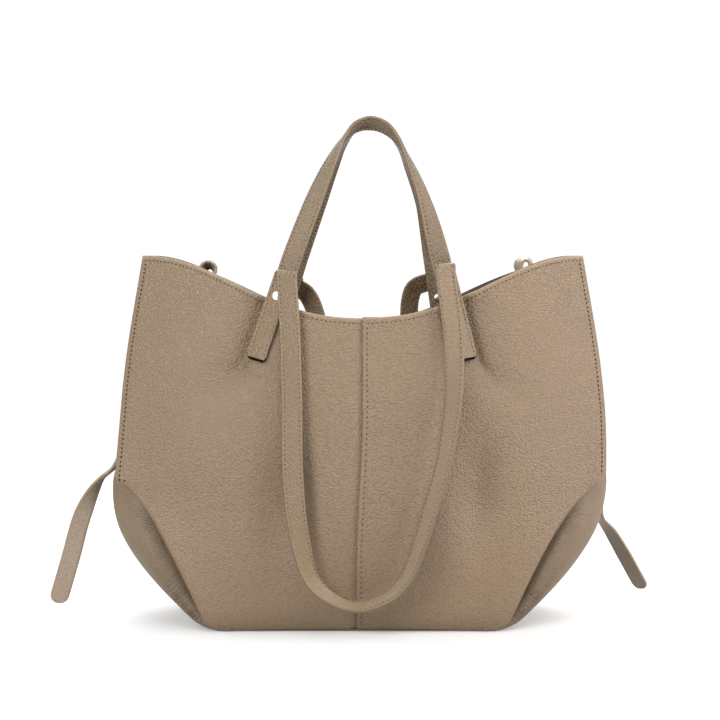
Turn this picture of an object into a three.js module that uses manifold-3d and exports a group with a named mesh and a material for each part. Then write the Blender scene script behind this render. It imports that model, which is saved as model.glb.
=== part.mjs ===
// A soft leather tote bag: four body panels, two folded gussets and a stiffened base, with two short
// handles, two long shoulder straps folded over at their sewn ends, and two side ties.
// Millimetres, +Z up. The front faces -Y and the origin is on the floor under the middle of the base.
import * as THREE from 'three';
import { mergeVertices } from 'three/addons/utils/BufferGeometryUtils.js';
import ManifoldModule from 'manifold-3d';

// Clearance between pieces that touch on the real bag
const CLEARANCE = 0.3;

// Leather and board thicknesses
const PANEL_THICKNESS = 2;
const GUSSET_THICKNESS = 1.6;
const FACING_THICKNESS = 1.2;
const BASE_THICKNESS = 2;
const BOARD_THICKNESS = 2.5;
const STRAP_THICKNESS = 3;
const TIE_THICKNESS = 2;

// Body panels
const RIM_HEIGHT = 285;
const CORNER_RISE = 62;
const BACK_RIM_RISE = 5;
const CORNER_HALF_WIDTH = 211;
const CORNER_HALF_DEPTH = 15;
const RIM_HALF_DEPTH = 65;
const BELLY = 14;
const SEAM_END_HEIGHT = 137;
const SEAM_HALF_WIDTH = 228;
const SEAM_HALF_DEPTH = 48;
const FOOT_HALF_LENGTH = 135;
const BASE_HALF_DEPTH = 75;
const SEAM_LAP = 8;
const LAP_EASE = 11;

// Shape exponents of the panels: the rim's sweep, the corner fold, and how flat the panel is across
const RIM_SWEEP = 1.15;
const FOLD_SWEEP = 0.66;
const FOLD_FORWARD = 2.2;
const BELLY_DROP = 0.7;
const PANEL_FLATNESS = 2.5;

// Gussets
const BULGE_HALF_WIDTH = 243;
const BULGE_HEIGHT = 130;
const VALLEY_HALF_WIDTH = 150;
const VALLEY_DROP = 14;
const VALLEY_SPREAD = 18;
const GUSSET_FOOT_HALF_LENGTH = 140;
const SEAM_TUCK = 6;
const FOLD_TUCK = 11;
const GUSSET_SEAT = 0.7;
const BULGE_FULLNESS = 0.8;
const VALLEY_SWEEP = 0.8;
const TUCK_EASE = 4;

// Base
const BASE_MARGIN = 1.5;
const BOARD_HALF_LENGTH = 118;
const BOARD_SIDE_GAP = 3;
const BOARD_CORNER = 12;

// Rim facings
const FACING_DEPTH = 25;
const FACING_EASE = 2;
const FACING_DROP = 1.5;

// Strap tabs and the fold over their tops. Drops and rises are from the middle of the front rim
const STRAP_WIDTH = 18;
const TAB_FOOT_HALF_SPREAD = 95;
const TAB_FOOT_DROP = 39;
const TAB_TOP_HALF_SPREAD = 72.5;
const TAB_TOP_RISE = 42;
const TAB_LEAN = 3.5;
const TAB_CORNER = 4;
const TAB_SEAT = 0.6;
const FOLD_GAP = 2.6;

// Handles
const HANDLE_END_DROP = 9;
const FLEX_RISE = 53;
const HANDLE_RISE = 191.5;
const HANDLE_APART = 0.6;

// Straight stretch of a strap next to the line it bends on
const STRAIGHT_LENGTH = 6;

// Shoulder straps
const STRAP_BOTTOM = 29;
const STRAP_STANDOFF = 2;

// Rivets, just above the rim where the tab crosses it, with a domed profile in shares of radius and height
const RIVET_RISE = 2.6;
const RIVET_CAP_DIAMETER = 9;
const RIVET_CAP_HEIGHT = 1.7;
const RIVET_POST_DIAMETER = 4;
const RIVET_DOME = [[0.93, 0], [1, 0.24], [0.8, 0.7], [0.45, 0.94], [0, 1]];

// Side ties
const TIE_WIDTH = 18;
const TIE_LOOP_RADIUS = 6;
const TIE_LOOP_RISE = 4;
const TIE_ANCHOR_LENGTH = 36;
const TIE_STANDOFF = 4.5;
const TIE_TIP_WIDTH = 1;

// Each tie: how far above the widest bulge it leaves the gusset, how far it then goes out, down and back, the
// turn of its tip, how evenly it falls, and where it starts to twist (1 is where it leaves the gusset)
const LEFT_TIE = { shoulder: 12, reach: 50, drop: 132, back: 0, turn: 15, fall: 1.6, twist: 1 };
const RIGHT_TIE = { shoulder: -40, reach: 43, drop: 74, back: 34, turn: 132, fall: 1, twist: 0.7 };
const TIE_TWIST_SPAN = 0.5;

// Shares of a tie's drop at which its path is set, above and below the gusset's shoulder
const TIE_ANCHOR_SHARES = [0, 0.35];
const TIE_UPPER_SHARES = [0.2, 0.45, 0.6, 0.7, 0.8, 0.88, 1];
const TIE_LOWER_SHARES = [0.22, 0.5, 0.78, 1];
const TIE_BACK_SHARE = 0.7;

// Mesh densities
const PANEL_COLUMNS = 10;
const PANEL_ROWS = 18;
const FACING_COLUMNS = 8;
const FACING_ROWS = 2;
const GUSSET_COLUMNS = 16;
const GUSSET_ROWS = 18;
const ROUND_SEGMENTS = 16;
const FOLD_STEPS = 6;
const END_STEPS = 4;
const CORNER_SEGMENTS = 6;
const STRAP_STEPS = 56;
const HANDLE_STEPS = 40;
const TIE_STEPS = 30;
const TIP_FLAT = 0.05;
const SAMPLE_STEP = 1;

// Derived sizes
const CORNER_HEIGHT = RIM_HEIGHT + CORNER_RISE;
const VALLEY_HEIGHT = CORNER_HEIGHT - VALLEY_DROP;
const FLOOR_OF_WALLS = BASE_THICKNESS + CLEARANCE;
const GUSSET_FLOOR = FLOOR_OF_WALLS + GUSSET_THICKNESS / 2;
const TAB_FOOT_HEIGHT = RIM_HEIGHT - TAB_FOOT_DROP;
const TAB_TOP_HEIGHT = RIM_HEIGHT + TAB_TOP_RISE;
const HANDLE_END_HEIGHT = RIM_HEIGHT - HANDLE_END_DROP;
const FLEX_HEIGHT = RIM_HEIGHT + FLEX_RISE;
const HANDLE_TOP = RIM_HEIGHT + HANDLE_RISE;
const TIE_LOOP_HEIGHT = VALLEY_HEIGHT + TIE_LOOP_RISE;
const TAB_OFFSET = PANEL_THICKNESS / 2 + TAB_SEAT + STRAP_THICKNESS / 2;
const FACING_OFFSET = PANEL_THICKNESS / 2 + CLEARANCE + FACING_THICKNESS / 2;
const HANDLE_END_OFFSET = FACING_OFFSET + FACING_THICKNESS / 2 + TAB_SEAT + STRAP_THICKNESS / 2;
const FOLD_RADIUS = (FOLD_GAP + STRAP_THICKNESS) / 2;
const FRONT = new THREE.Vector3(0, -1, 0);

const { lerp, clamp, degToRad } = THREE.MathUtils;
const vector = (x, y, z) => new THREE.Vector3(x, y, z);
const ease = (share) => THREE.MathUtils.smoothstep(share, 0, 1);

const wasm = await ManifoldModule();
wasm.setup();

// Leather and metal finishes
const finish = (color, roughness, metalness = 0) => (
  () => new THREE.MeshStandardMaterial({ color, roughness, metalness })
);
const panelLeather = finish(0xa48f78, 0.62);
const gussetLeather = finish(0x97836d, 0.64);
const strapLeather = finish(0xa08a72, 0.58);
const innerLeather = finish(0x75624f, 0.8);
const boardStock = finish(0x6b5a48, 0.9);
const chrome = finish(0xc9ccd0, 0.22, 1);

const bag = new THREE.Group();
bag.name = 'tote_bag';

function addPiece(name, geometry, material) {
  const mesh = new THREE.Mesh(geometry, material());
  mesh.name = name;
  bag.add(mesh);
}

// Closed bodies from lofted corners
function signedVolume(positions, indices) {
  const corner = (k) => vector(...positions.slice(3 * indices[k], 3 * indices[k] + 3));
  let volume = 0;
  for (let k = 0; k < indices.length; k += 3) {
    volume += corner(k).dot(corner(k + 1).cross(corner(k + 2))) / 6;
  }
  return volume;
}

function closedBody(points, indices) {
  const positions = points.flatMap((point) => point.toArray());
  const outward = signedVolume(positions, indices) > 0 ? indices : indices.slice().reverse();
  const geometry = new THREE.BufferGeometry();
  geometry.setAttribute('position', new THREE.Float32BufferAttribute(positions, 3));
  geometry.setIndex(outward);
  geometry.computeVertexNormals();
  return geometry;
}

// Joins a list of closed rings of corners, one after another, and closes both ends
function loftRings(rings) {
  const size = rings[0].length;
  const indices = [];
  for (let r = 0; r + 1 < rings.length; r += 1) {
    for (let k = 0; k < size; k += 1) {
      const a = r * size + k;
      const b = r * size + ((k + 1) % size);
      indices.push(a, b, a + size, b, b + size, a + size);
    }
  }
  const last = (rings.length - 1) * size;
  for (let k = 1; k + 1 < size; k += 1) {
    indices.push(0, k + 1, k, last, last + k, last + k + 1);
  }
  return closedBody(rings.flat(), indices);
}

// A sheet of leather: a grid of points on its middle surface, given half its thickness on each side
function sheet(grid, thickness) {
  const rows = grid.length;
  const columns = grid[0].length;
  const pick = (r, c) => grid[clamp(r, 0, rows - 1)][clamp(c, 0, columns - 1)];
  const faces = [1, -1].map((side) => grid.flatMap((row, r) => row.map((point, c) => {
    const along = pick(r, c + 1).clone().sub(pick(r, c - 1));
    const up = pick(r + 1, c).clone().sub(pick(r - 1, c));
    return point.clone().addScaledVector(along.cross(up).normalize(), side * thickness / 2);
  })));
  const count = rows * columns;
  const indices = [];
  const quad = (a, b, c, d) => indices.push(a, b, c, a, c, d);
  for (let r = 0; r + 1 < rows; r += 1) {
    for (let c = 0; c + 1 < columns; c += 1) {
      const a = r * columns + c;
      quad(a, a + 1, a + columns + 1, a + columns);
      quad(count + a, count + a + columns, count + a + columns + 1, count + a + 1);
    }
  }
  const rim = [];
  for (let c = 0; c + 1 < columns; c += 1) rim.push(c);
  for (let r = 0; r + 1 < rows; r += 1) rim.push(r * columns + columns - 1);
  for (let c = columns - 1; c > 0; c -= 1) rim.push((rows - 1) * columns + c);
  for (let r = rows - 1; r > 0; r -= 1) rim.push(r * columns);
  rim.forEach((a, k) => {
    const b = rim[(k + 1) % rim.length];
    quad(a, count + a, count + b, b);
  });
  return closedBody(faces.flat(), indices);
}

// A flat strap: stations with a centre, a direction across the strap and the way its face looks
function ribbon(stations, thickness) {
  return loftRings(stations.map(({ at, across, face, width }) => [[1, 1], [1, -1], [-1, -1], [-1, 1]]
    .map(([a, f]) => at.clone()
      .addScaledVector(across, a * width / 2)
      .addScaledVector(face, f * thickness / 2))));
}

// Turns a front piece into the matching back piece
function mirrored(geometry) {
  const index = geometry.getIndex().array;
  const copy = geometry.clone().scale(1, -1, 1);
  copy.setIndex(Array.from(index).reverse());
  copy.computeVertexNormals();
  return copy;
}

// Boolean cut of one closed body by another
function toSolid(geometry) {
  const bare = geometry.clone();
  bare.deleteAttribute('normal');
  bare.deleteAttribute('uv');
  const merged = mergeVertices(bare);
  return new wasm.Manifold(new wasm.Mesh({
    numProp: 3,
    vertProperties: new Float32Array(merged.getAttribute('position').array),
    triVerts: new Uint32Array(merged.getIndex().array),
  }));
}

function cut(geometry, cutter) {
  const mesh = toSolid(geometry).subtract(toSolid(cutter)).getMesh();
  const result = new THREE.BufferGeometry();
  result.setAttribute('position', new THREE.Float32BufferAttribute(mesh.vertProperties, 3));
  result.setIndex(Array.from(mesh.triVerts));
  result.computeVertexNormals();
  return result;
}

// Outline of the body: half width, rim height and depth from the middle plane
const aboveSeamEnd = (z) => (z - SEAM_END_HEIGHT) / (CORNER_HEIGHT - SEAM_END_HEIGHT);
const belowSeamEnd = (z) => clamp((SEAM_END_HEIGHT - z) / (SEAM_END_HEIGHT - FLOOR_OF_WALLS), 0, 1);

function sideEdge(z) {
  if (z >= SEAM_END_HEIGHT) {
    const sweep = Math.cos(aboveSeamEnd(z) * Math.PI / 2);
    return CORNER_HALF_WIDTH + (SEAM_HALF_WIDTH - CORNER_HALF_WIDTH) * sweep;
  }
  return SEAM_HALF_WIDTH - (SEAM_HALF_WIDTH - FOOT_HALF_LENGTH) * belowSeamEnd(z) ** FOLD_SWEEP;
}

function edgeDepth(z) {
  if (z >= SEAM_END_HEIGHT) return lerp(SEAM_HALF_DEPTH, CORNER_HALF_DEPTH, aboveSeamEnd(z));
  const forward = 1 - (1 - belowSeamEnd(z)) ** FOLD_FORWARD;
  return lerp(SEAM_HALF_DEPTH, BASE_HALF_DEPTH, forward);
}

function middleDepth(z) {
  const up = z / RIM_HEIGHT;
  return lerp(BASE_HALF_DEPTH, RIM_HALF_DEPTH, up) + BELLY * Math.sin(Math.PI * up ** BELLY_DROP);
}

function panelDepth(x, z) {
  const share = Math.min(Math.abs(x) / sideEdge(z), 1);
  return lerp(middleDepth(z), edgeDepth(z), share ** PANEL_FLATNESS);
}

function rimHeight(share, rise) {
  const sweep = ((1 - Math.cos(Math.PI * share)) / 2) ** RIM_SWEEP;
  return RIM_HEIGHT + CORNER_RISE * sweep + rise * (1 - share);
}

const onPanel = (x, z) => vector(x, -panelDepth(x, z), z);

// The way the front panel looks at a point, out of the bag
function panelFace(x, z) {
  const along = onPanel(x + SAMPLE_STEP, z).sub(onPanel(x - SAMPLE_STEP, z));
  const up = onPanel(x, z + SAMPLE_STEP).sub(onPanel(x, z - SAMPLE_STEP));
  return along.cross(up).normalize();
}

const offPanel = (x, z, offset) => onPanel(x, z).addScaledVector(panelFace(x, z), offset);

// Body panels: the right one laps over the left one at the centre seam
function bodyPanel(side, rise) {
  const columns = [];
  for (let c = 0; c <= PANEL_COLUMNS; c += 1) columns.push(c / PANEL_COLUMNS);
  const lapDepth = PANEL_THICKNESS + CLEARANCE;
  const grid = [];
  for (let r = 0; r <= PANEL_ROWS; r += 1) {
    const row = columns.map((share) => {
      const z = lerp(FLOOR_OF_WALLS, rimHeight(share, rise), r / PANEL_ROWS);
      return onPanel(side * share * sideEdge(z), z);
    });
    if (side < 0) {
      const z = lerp(FLOOR_OF_WALLS, rimHeight(0, rise), r / PANEL_ROWS);
      const tucked = [-CLEARANCE * 2, SEAM_LAP].map((x) => onPanel(x, z).add(vector(0, lapDepth, 0)));
      row.splice(0, 1, onPanel(-LAP_EASE, z));
      row.unshift(...tucked.reverse());
    }
    grid.push(row);
  }
  return sheet(grid, PANEL_THICKNESS);
}

// Gussets: folded inwards between the side seams, swelling out below them
function gussetMiddle(z) {
  if (z <= BULGE_HEIGHT) {
    const round = 1 - (1 - z / BULGE_HEIGHT) ** 2;
    return lerp(GUSSET_FOOT_HALF_LENGTH, BULGE_HALF_WIDTH, round ** BULGE_FULLNESS);
  }
  const up = clamp((z - BULGE_HEIGHT) / (VALLEY_HEIGHT - BULGE_HEIGHT), 0, 1);
  return lerp(BULGE_HALF_WIDTH, VALLEY_HALF_WIDTH, ease(up ** VALLEY_SWEEP));
}

// One half of a gusset's section at a height, from its sewn edge (0) to its middle (1)
function gussetPoint(share, z) {
  const tuck = lerp(FOLD_TUCK, SEAM_TUCK, ease(1 + TUCK_EASE * aboveSeamEnd(z)));
  const edge = sideEdge(z) - tuck;
  const seat = PANEL_THICKNESS / 2 + GUSSET_SEAT + GUSSET_THICKNESS / 2;
  const start = offPanel(edge, z, -seat);
  const spread = VALLEY_SPREAD * ease(clamp(aboveSeamEnd(z), 0, 1));
  const x = lerp(start.x, gussetMiddle(z), Math.sin(share * Math.PI / 2));
  const y = start.y * (1 - share) - spread * Math.sin(Math.PI * share);
  return vector(x, y, z);
}

function gusset(side) {
  const grid = [];
  const half = GUSSET_COLUMNS / 2;
  for (let r = 0; r <= GUSSET_ROWS; r += 1) {
    const row = [];
    for (let c = -half; c <= half; c += 1) {
      const share = 1 - Math.abs(c) / half;
      const top = lerp(CORNER_HEIGHT, VALLEY_HEIGHT, ease(share));
      const point = gussetPoint(share, lerp(GUSSET_FLOOR, top, r / GUSSET_ROWS));
      row.push(vector(side * point.x, c < 0 ? point.y : -point.y, point.z));
    }
    grid.push(row);
  }
  return sheet(grid, GUSSET_THICKNESS);
}

// Base: an outline that follows the feet of the panels and gussets
function basePanel() {
  const half = BASE_HALF_DEPTH + PANEL_THICKNESS / 2 + BASE_MARGIN;
  const end = [];
  const steps = GUSSET_COLUMNS / 2;
  end.push([FOOT_HALF_LENGTH + BASE_MARGIN, -half]);
  for (let c = 1 - steps; c < steps; c += 1) {
    const share = 1 - Math.abs(c) / steps;
    const point = gussetPoint(share, GUSSET_FLOOR);
    const reach = point.x + GUSSET_THICKNESS + BASE_MARGIN;
    end.push([Math.max(reach, FOOT_HALF_LENGTH + BASE_MARGIN), c < 0 ? point.y : -point.y]);
  }
  end.push([FOOT_HALF_LENGTH + BASE_MARGIN, half]);
  const outline = [...end, ...end.map(([x, y]) => [-x, -y])].map(([x, y]) => new THREE.Vector2(x, y));
  return new THREE.ExtrudeGeometry(new THREE.Shape(outline), {
    depth: BASE_THICKNESS, bevelEnabled: false,
  });
}

function baseBoard() {
  const x = BOARD_HALF_LENGTH;
  const y = BASE_HALF_DEPTH - PANEL_THICKNESS / 2 - BOARD_SIDE_GAP;
  const r = BOARD_CORNER;
  const outline = new THREE.Shape();
  outline.absarc(x - r, y - r, r, 0, Math.PI / 2);
  outline.absarc(-x + r, y - r, r, Math.PI / 2, Math.PI);
  outline.absarc(-x + r, -y + r, r, Math.PI, Math.PI * 1.5);
  outline.absarc(x - r, -y + r, r, Math.PI * 1.5, Math.PI * 2);
  const board = new THREE.ExtrudeGeometry(outline, {
    depth: BOARD_THICKNESS, bevelEnabled: false, curveSegments: CORNER_SEGMENTS,
  });
  return board.translate(0, 0, FLOOR_OF_WALLS);
}

// Facings: a strip inside each rim, behind the row of stitches, stepped over the lapped centre seam
function rimFacing(rise) {
  const lap = PANEL_THICKNESS + CLEARANCE;
  const plain = [];
  for (let c = 1; c <= FACING_COLUMNS; c += 1) plain.push({ share: c / PANEL_COLUMNS, step: 0 });
  const columns = [
    ...plain.map(({ share, step }) => ({ share: -share, step })).reverse(),
    { x: -LAP_EASE - FACING_EASE, step: 0 },
    { x: -FACING_EASE, step: lap },
    { x: SEAM_LAP + FACING_EASE, step: lap },
    ...plain,
  ];
  const grid = [];
  for (let r = 0; r <= FACING_ROWS; r += 1) {
    grid.push(columns.map(({ share, x, step }) => {
      const across = share === undefined ? x / sideEdge(RIM_HEIGHT) : share;
      const top = rimHeight(Math.abs(across), rise) - FACING_DROP;
      const z = lerp(top - FACING_DEPTH, top, r / FACING_ROWS);
      return offPanel(across * sideEdge(z), z, -FACING_OFFSET - step);
    }));
  }
  return sheet(grid, FACING_THICKNESS);
}

// Strap tabs: sewn on the panel on a slant, standing above the rim, folded forward at the top
function tabLine(side, z, rise) {
  const share = (z - rise - TAB_FOOT_HEIGHT) / (TAB_TOP_HEIGHT - TAB_FOOT_HEIGHT);
  return {
    x: side * lerp(TAB_FOOT_HALF_SPREAD, TAB_TOP_HALF_SPREAD, share),
    lean: TAB_LEAN * share,
  };
}

function onTabLine(side, z, rise, offset) {
  const { x, lean } = tabLine(side, z, rise);
  return offPanel(x, z, offset).add(vector(lean, 0, 0));
}

// Width of a strap near an end with rounded corners
function endWidth(width, corner, distance) {
  const inside = clamp(1 - (distance + TIP_FLAT) / corner, 0, 1);
  return width - 2 * corner * (1 - Math.sqrt(1 - inside * inside));
}

function tabFrame(side, z, rise) {
  const { x } = tabLine(side, z, rise);
  const above = onTabLine(side, z + SAMPLE_STEP, rise, 0);
  const up = above.sub(onTabLine(side, z - SAMPLE_STEP, rise, 0)).normalize();
  const face = panelFace(x, z);
  face.addScaledVector(up, -face.dot(up)).normalize();
  return { up, face, across: up.clone().cross(face).normalize() };
}

function tabStations(side, rise) {
  const foot = TAB_FOOT_HEIGHT + rise;
  const top = TAB_TOP_HEIGHT + rise;
  const heights = [];
  for (let k = 0; k < END_STEPS; k += 1) heights.push(foot + TAB_CORNER * (k / END_STEPS) ** 2);
  for (let k = 0; k <= FOLD_STEPS; k += 1) heights.push(lerp(foot + TAB_CORNER, top, k / FOLD_STEPS));
  const stations = heights.map((z) => ({
    ...tabFrame(side, z, rise),
    at: onTabLine(side, z, rise, TAB_OFFSET),
    width: endWidth(STRAP_WIDTH, TAB_CORNER, z - foot),
  }));
  const last = stations[stations.length - 1];
  const level = vector(Math.sign(last.across.x), 0, 0);
  const centre = last.at.clone().addScaledVector(last.face, FOLD_RADIUS);
  for (let k = 1; k <= FOLD_STEPS; k += 1) {
    const angle = Math.PI * k / FOLD_STEPS;
    const across = last.across.clone().lerp(level, k / FOLD_STEPS).normalize();
    const upward = last.face.clone().cross(across).normalize();
    const face = across.clone().cross(upward).multiplyScalar(Math.cos(angle));
    face.addScaledVector(upward, -Math.sin(angle));
    const at = centre.clone().addScaledVector(face, -FOLD_RADIUS);
    stations.push({ at, across, face, width: STRAP_WIDTH });
  }
  return stations;
}

// Where the free strap starts, just under the end of the fold
function strapStart(side, rise) {
  const stations = tabStations(side, rise);
  return stations[stations.length - 1].at.clone().add(vector(0, 0, -2 * CLEARANCE));
}

// A strap along a smooth path. A turn of 0 lays it flat to the front, 90 degrees stands it edge on
function strapAlong(path, width, thickness, steps, corner = 0) {
  const curve = new THREE.CatmullRomCurve3(path.map(({ at }) => at), false, 'centripetal');
  const turnAt = (share) => {
    const place = share * (path.length - 1);
    const k = Math.min(Math.floor(place), path.length - 2);
    return degToRad(lerp(path[k].turn, path[k + 1].turn, place - k));
  };
  const length = curve.getLength();
  const places = [];
  for (let k = 0; k <= steps; k += 1) places.push((1 - corner / length) * k / steps);
  for (let k = END_STEPS - 1; corner > 0 && k >= 0; k -= 1) {
    places.push(1 - (corner / length) * (k / END_STEPS) ** 2);
  }
  return ribbon(places.map((share) => {
    const parameter = curve.getUtoTmapping(share);
    const travel = curve.getTangent(parameter).normalize();
    const side = travel.clone().cross(FRONT).normalize();
    const front = side.clone().cross(travel).normalize();
    const turn = turnAt(parameter);
    const across = side.multiplyScalar(Math.cos(turn)).addScaledVector(front, Math.sin(turn)).normalize();
    return {
      at: curve.getPoint(parameter),
      across,
      face: travel.clone().cross(across).normalize(),
      width: corner ? endWidth(width, corner, (1 - share) * length) : width,
    };
  }), thickness);
}

// Shoulder straps: share of the tabs' spread, share of the drop, turn of the strap
const FRONT_STRAP_SHAPE = [
  [-0.952, 0.18, 0], [-0.917, 0.39, 2], [-0.895, 0.62, 8], [-0.81, 0.8, 25], [-0.62, 0.935, 55],
  [-0.145, 1, 78], [0.297, 0.965, 70], [0.517, 0.9, 62], [0.655, 0.81, 55], [0.793, 0.7, 52],
  [0.94, 0.58, 50], [1.07, 0.385, 40], [1.08, 0.2, 16],
];
const BACK_STRAP_SHAPE = [
  [-0.83, 0.05, 0], [-0.69, 0.13, 0], [-0.66, 0.3, 0], [-0.67, 0.55, 8], [-0.64, 0.78, 30],
  [-0.5, 0.93, 60], [0, 1, 80], [0.48, 0.93, 60], [0.6, 0.78, 30], [0.6, 0.55, 8],
  [0.59, 0.3, 0], [0.6, 0.13, 0], [0.77, 0.05, 0],
];

function shoulderStrap(shape, rise) {
  const left = strapStart(-1, rise);
  const right = strapStart(1, rise);
  const middle = (left.x + right.x) / 2;
  const half = (right.x - left.x) / 2;
  const nearTab = TAB_OFFSET + 2 * FOLD_RADIUS;
  const nearBelly = PANEL_THICKNESS / 2 + STRAP_STANDOFF + STRAP_THICKNESS / 2;
  const points = shape.map(([spread, drop, turn]) => {
    const x = middle + half * spread;
    const z = lerp(left.z, STRAP_BOTTOM, drop);
    const belowTab = THREE.MathUtils.smoothstep(left.z - z, left.z - TAB_FOOT_HEIGHT - rise, left.z / 2);
    const edge = Math.sin(degToRad(turn)) * STRAP_WIDTH / 2;
    const y = -panelDepth(x, z) - lerp(nearTab, nearBelly, belowTab) - edge;
    return { at: vector(x, y, z), turn };
  });
  const flat = (at, drop) => ({ at: at.clone().add(vector(0, 0, -drop)), turn: 0 });
  const path = [
    flat(left, 0), flat(left, STRAIGHT_LENGTH), ...points, flat(right, STRAIGHT_LENGTH), flat(right, 0),
  ];
  return strapAlong(path, STRAP_WIDTH, STRAP_THICKNESS, STRAP_STEPS);
}

// Handles: share of the spread between the ends, share of the rise, turn of the strap
const HANDLE_SHAPE = [
  [-0.723, 0.42, 24], [-0.502, 0.71, 55], [-0.32, 0.88, 81], [-0.14, 0.972, 104], [0.06, 1, 116],
  [0.26, 0.968, 109], [0.43, 0.865, 92], [0.565, 0.7, 72], [0.77, 0.42, 50],
];

function handleEnd(side, rise) {
  const low = HANDLE_END_HEIGHT + rise;
  const high = FLEX_HEIGHT + rise - CLEARANCE / 2;
  const heights = [];
  for (let k = 0; k < END_STEPS; k += 1) heights.push(low + TAB_CORNER * (k / END_STEPS) ** 2);
  for (let k = 0; k <= FOLD_STEPS; k += 1) heights.push(lerp(low + TAB_CORNER, high, k / FOLD_STEPS));
  return ribbon(heights.map((z) => ({
    ...tabFrame(side, z, rise),
    at: onTabLine(side, z, rise, -HANDLE_END_OFFSET),
    width: endWidth(STRAP_WIDTH, TAB_CORNER, z - low),
  })), STRAP_THICKNESS);
}

function handle(rise) {
  const [left, leftUp, right, rightUp] = [-1, 1].flatMap((side) => [0, STRAIGHT_LENGTH].map((up) => (
    onTabLine(side, FLEX_HEIGHT + rise + CLEARANCE / 2 + up, rise, -HANDLE_END_OFFSET)
  )));
  const middle = (left.x + right.x) / 2;
  const half = (right.x - left.x) / 2;
  const apexDepth = -(STRAP_WIDTH + HANDLE_APART) / 2;
  const points = HANDLE_SHAPE.map(([spread, up, turn]) => ({
    at: vector(middle + half * spread, lerp(leftUp.y, apexDepth, up), lerp(leftUp.z, HANDLE_TOP, up)),
    turn,
  }));
  const flat = (at) => ({ at, turn: 0 });
  const path = [flat(left), flat(leftUp), ...points, flat(rightUp), flat(right)];
  return strapAlong(path, STRAP_WIDTH, STRAP_THICKNESS, HANDLE_STEPS);
}

// Rivets: a domed cap outside the tab, and a post with its own cap inside the handle's end
function rivetFrame(side, rise) {
  const crossing = tabLine(1, RIM_HEIGHT, 0).x / sideEdge(RIM_HEIGHT);
  const z = rimHeight(crossing, rise) + RIVET_RISE;
  const { face } = tabFrame(side, z, rise);
  const turn = new THREE.Quaternion().setFromUnitVectors(vector(0, 0, 1), face);
  return new THREE.Matrix4().compose(onTabLine(side, z, rise, 0), turn, vector(1, 1, 1));
}

const tabFront = TAB_OFFSET + STRAP_THICKNESS / 2;
const handleBack = -HANDLE_END_OFFSET - STRAP_THICKNESS / 2;

function revolve(profile) {
  const points = profile.map(([radius, height]) => new THREE.Vector2(radius, height));
  return new THREE.LatheGeometry(points, ROUND_SEGMENTS).rotateX(Math.PI / 2);
}

function rivetDome(seat, height) {
  const radius = RIVET_CAP_DIAMETER / 2;
  return RIVET_DOME.map(([out, up]) => [radius * out, seat + height * up]);
}

function rivetCap() {
  const seat = tabFront + CLEARANCE / 2;
  return revolve([[0, seat], ...rivetDome(seat, RIVET_CAP_HEIGHT)]);
}

function rivetPost() {
  const seat = handleBack - CLEARANCE / 2;
  const post = RIVET_POST_DIAMETER / 2;
  const end = tabFront - CLEARANCE / 2;
  return revolve([...rivetDome(seat, -RIVET_CAP_HEIGHT).reverse(), [post, seat], [post, end], [0, end]]);
}

function rivetHole() {
  const radius = RIVET_POST_DIAMETER / 2 + CLEARANCE;
  const length = tabFront - handleBack + 4 * CLEARANCE;
  return new THREE.CylinderGeometry(radius, radius, length, ROUND_SEGMENTS)
    .rotateX(Math.PI / 2)
    .translate(0, 0, (tabFront + handleBack) / 2);
}

// Side ties: held inside the gusset's top, looped over its edge and hanging outside it
function tieLoop(side) {
  const low = TIE_LOOP_HEIGHT - TIE_ANCHOR_LENGTH;
  const seat = GUSSET_THICKNESS / 2 + CLEARANCE + TIE_THICKNESS / 2;
  const inside = TIE_ANCHOR_SHARES.map((share) => {
    const z = low + TIE_ANCHOR_LENGTH * share;
    return [gussetMiddle(z) - seat, z];
  });
  const centre = gussetMiddle(TIE_LOOP_HEIGHT);
  const arch = [];
  for (let k = 0; k <= FOLD_STEPS; k += 1) {
    const angle = Math.PI * k / FOLD_STEPS;
    const x = centre - TIE_LOOP_RADIUS * Math.cos(angle);
    arch.push([x, TIE_LOOP_HEIGHT + TIE_LOOP_RADIUS * Math.sin(angle)]);
  }
  const points = [...inside, ...arch];
  return ribbon(points.map(([x, z], k) => {
    const before = points[Math.max(k - 1, 0)];
    const after = points[Math.min(k + 1, points.length - 1)];
    const across = vector(0, 1, 0);
    const travel = vector(side * (after[0] - before[0]), 0, after[1] - before[1]).normalize();
    return { at: vector(side * x, 0, z), across, face: travel.cross(across), width: TIE_WIDTH };
  }), TIE_THICKNESS);
}

function sideTie(side, tie) {
  const start = gussetMiddle(TIE_LOOP_HEIGHT) + TIE_LOOP_RADIUS;
  const turnAt = (progress) => lerp(90, tie.turn, ease((progress - tie.twist) / TIE_TWIST_SPAN));
  const upper = TIE_UPPER_SHARES.map((share) => {
    const z = lerp(TIE_LOOP_HEIGHT, BULGE_HEIGHT + tie.shoulder, share);
    const x = Math.max(start, gussetMiddle(z) + TIE_STANDOFF);
    return { at: vector(side * x, tie.back * TIE_BACK_SHARE * share ** 3, z), turn: turnAt(share) };
  });
  const shoulder = upper[upper.length - 1].at;
  const lower = TIE_LOWER_SHARES.map((share) => ({
    at: vector(
      shoulder.x + side * tie.reach * share,
      lerp(shoulder.y, tie.back, share),
      shoulder.z - tie.drop * share ** tie.fall,
    ),
    turn: turnAt(1 + share),
  }));
  const path = [{ at: vector(side * start, 0, TIE_LOOP_HEIGHT - CLEARANCE), turn: 90 }, ...upper, ...lower];
  return strapAlong(path, TIE_WIDTH, TIE_THICKNESS, TIE_STEPS, (TIE_WIDTH - TIE_TIP_WIDTH) / 2);
}

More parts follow.
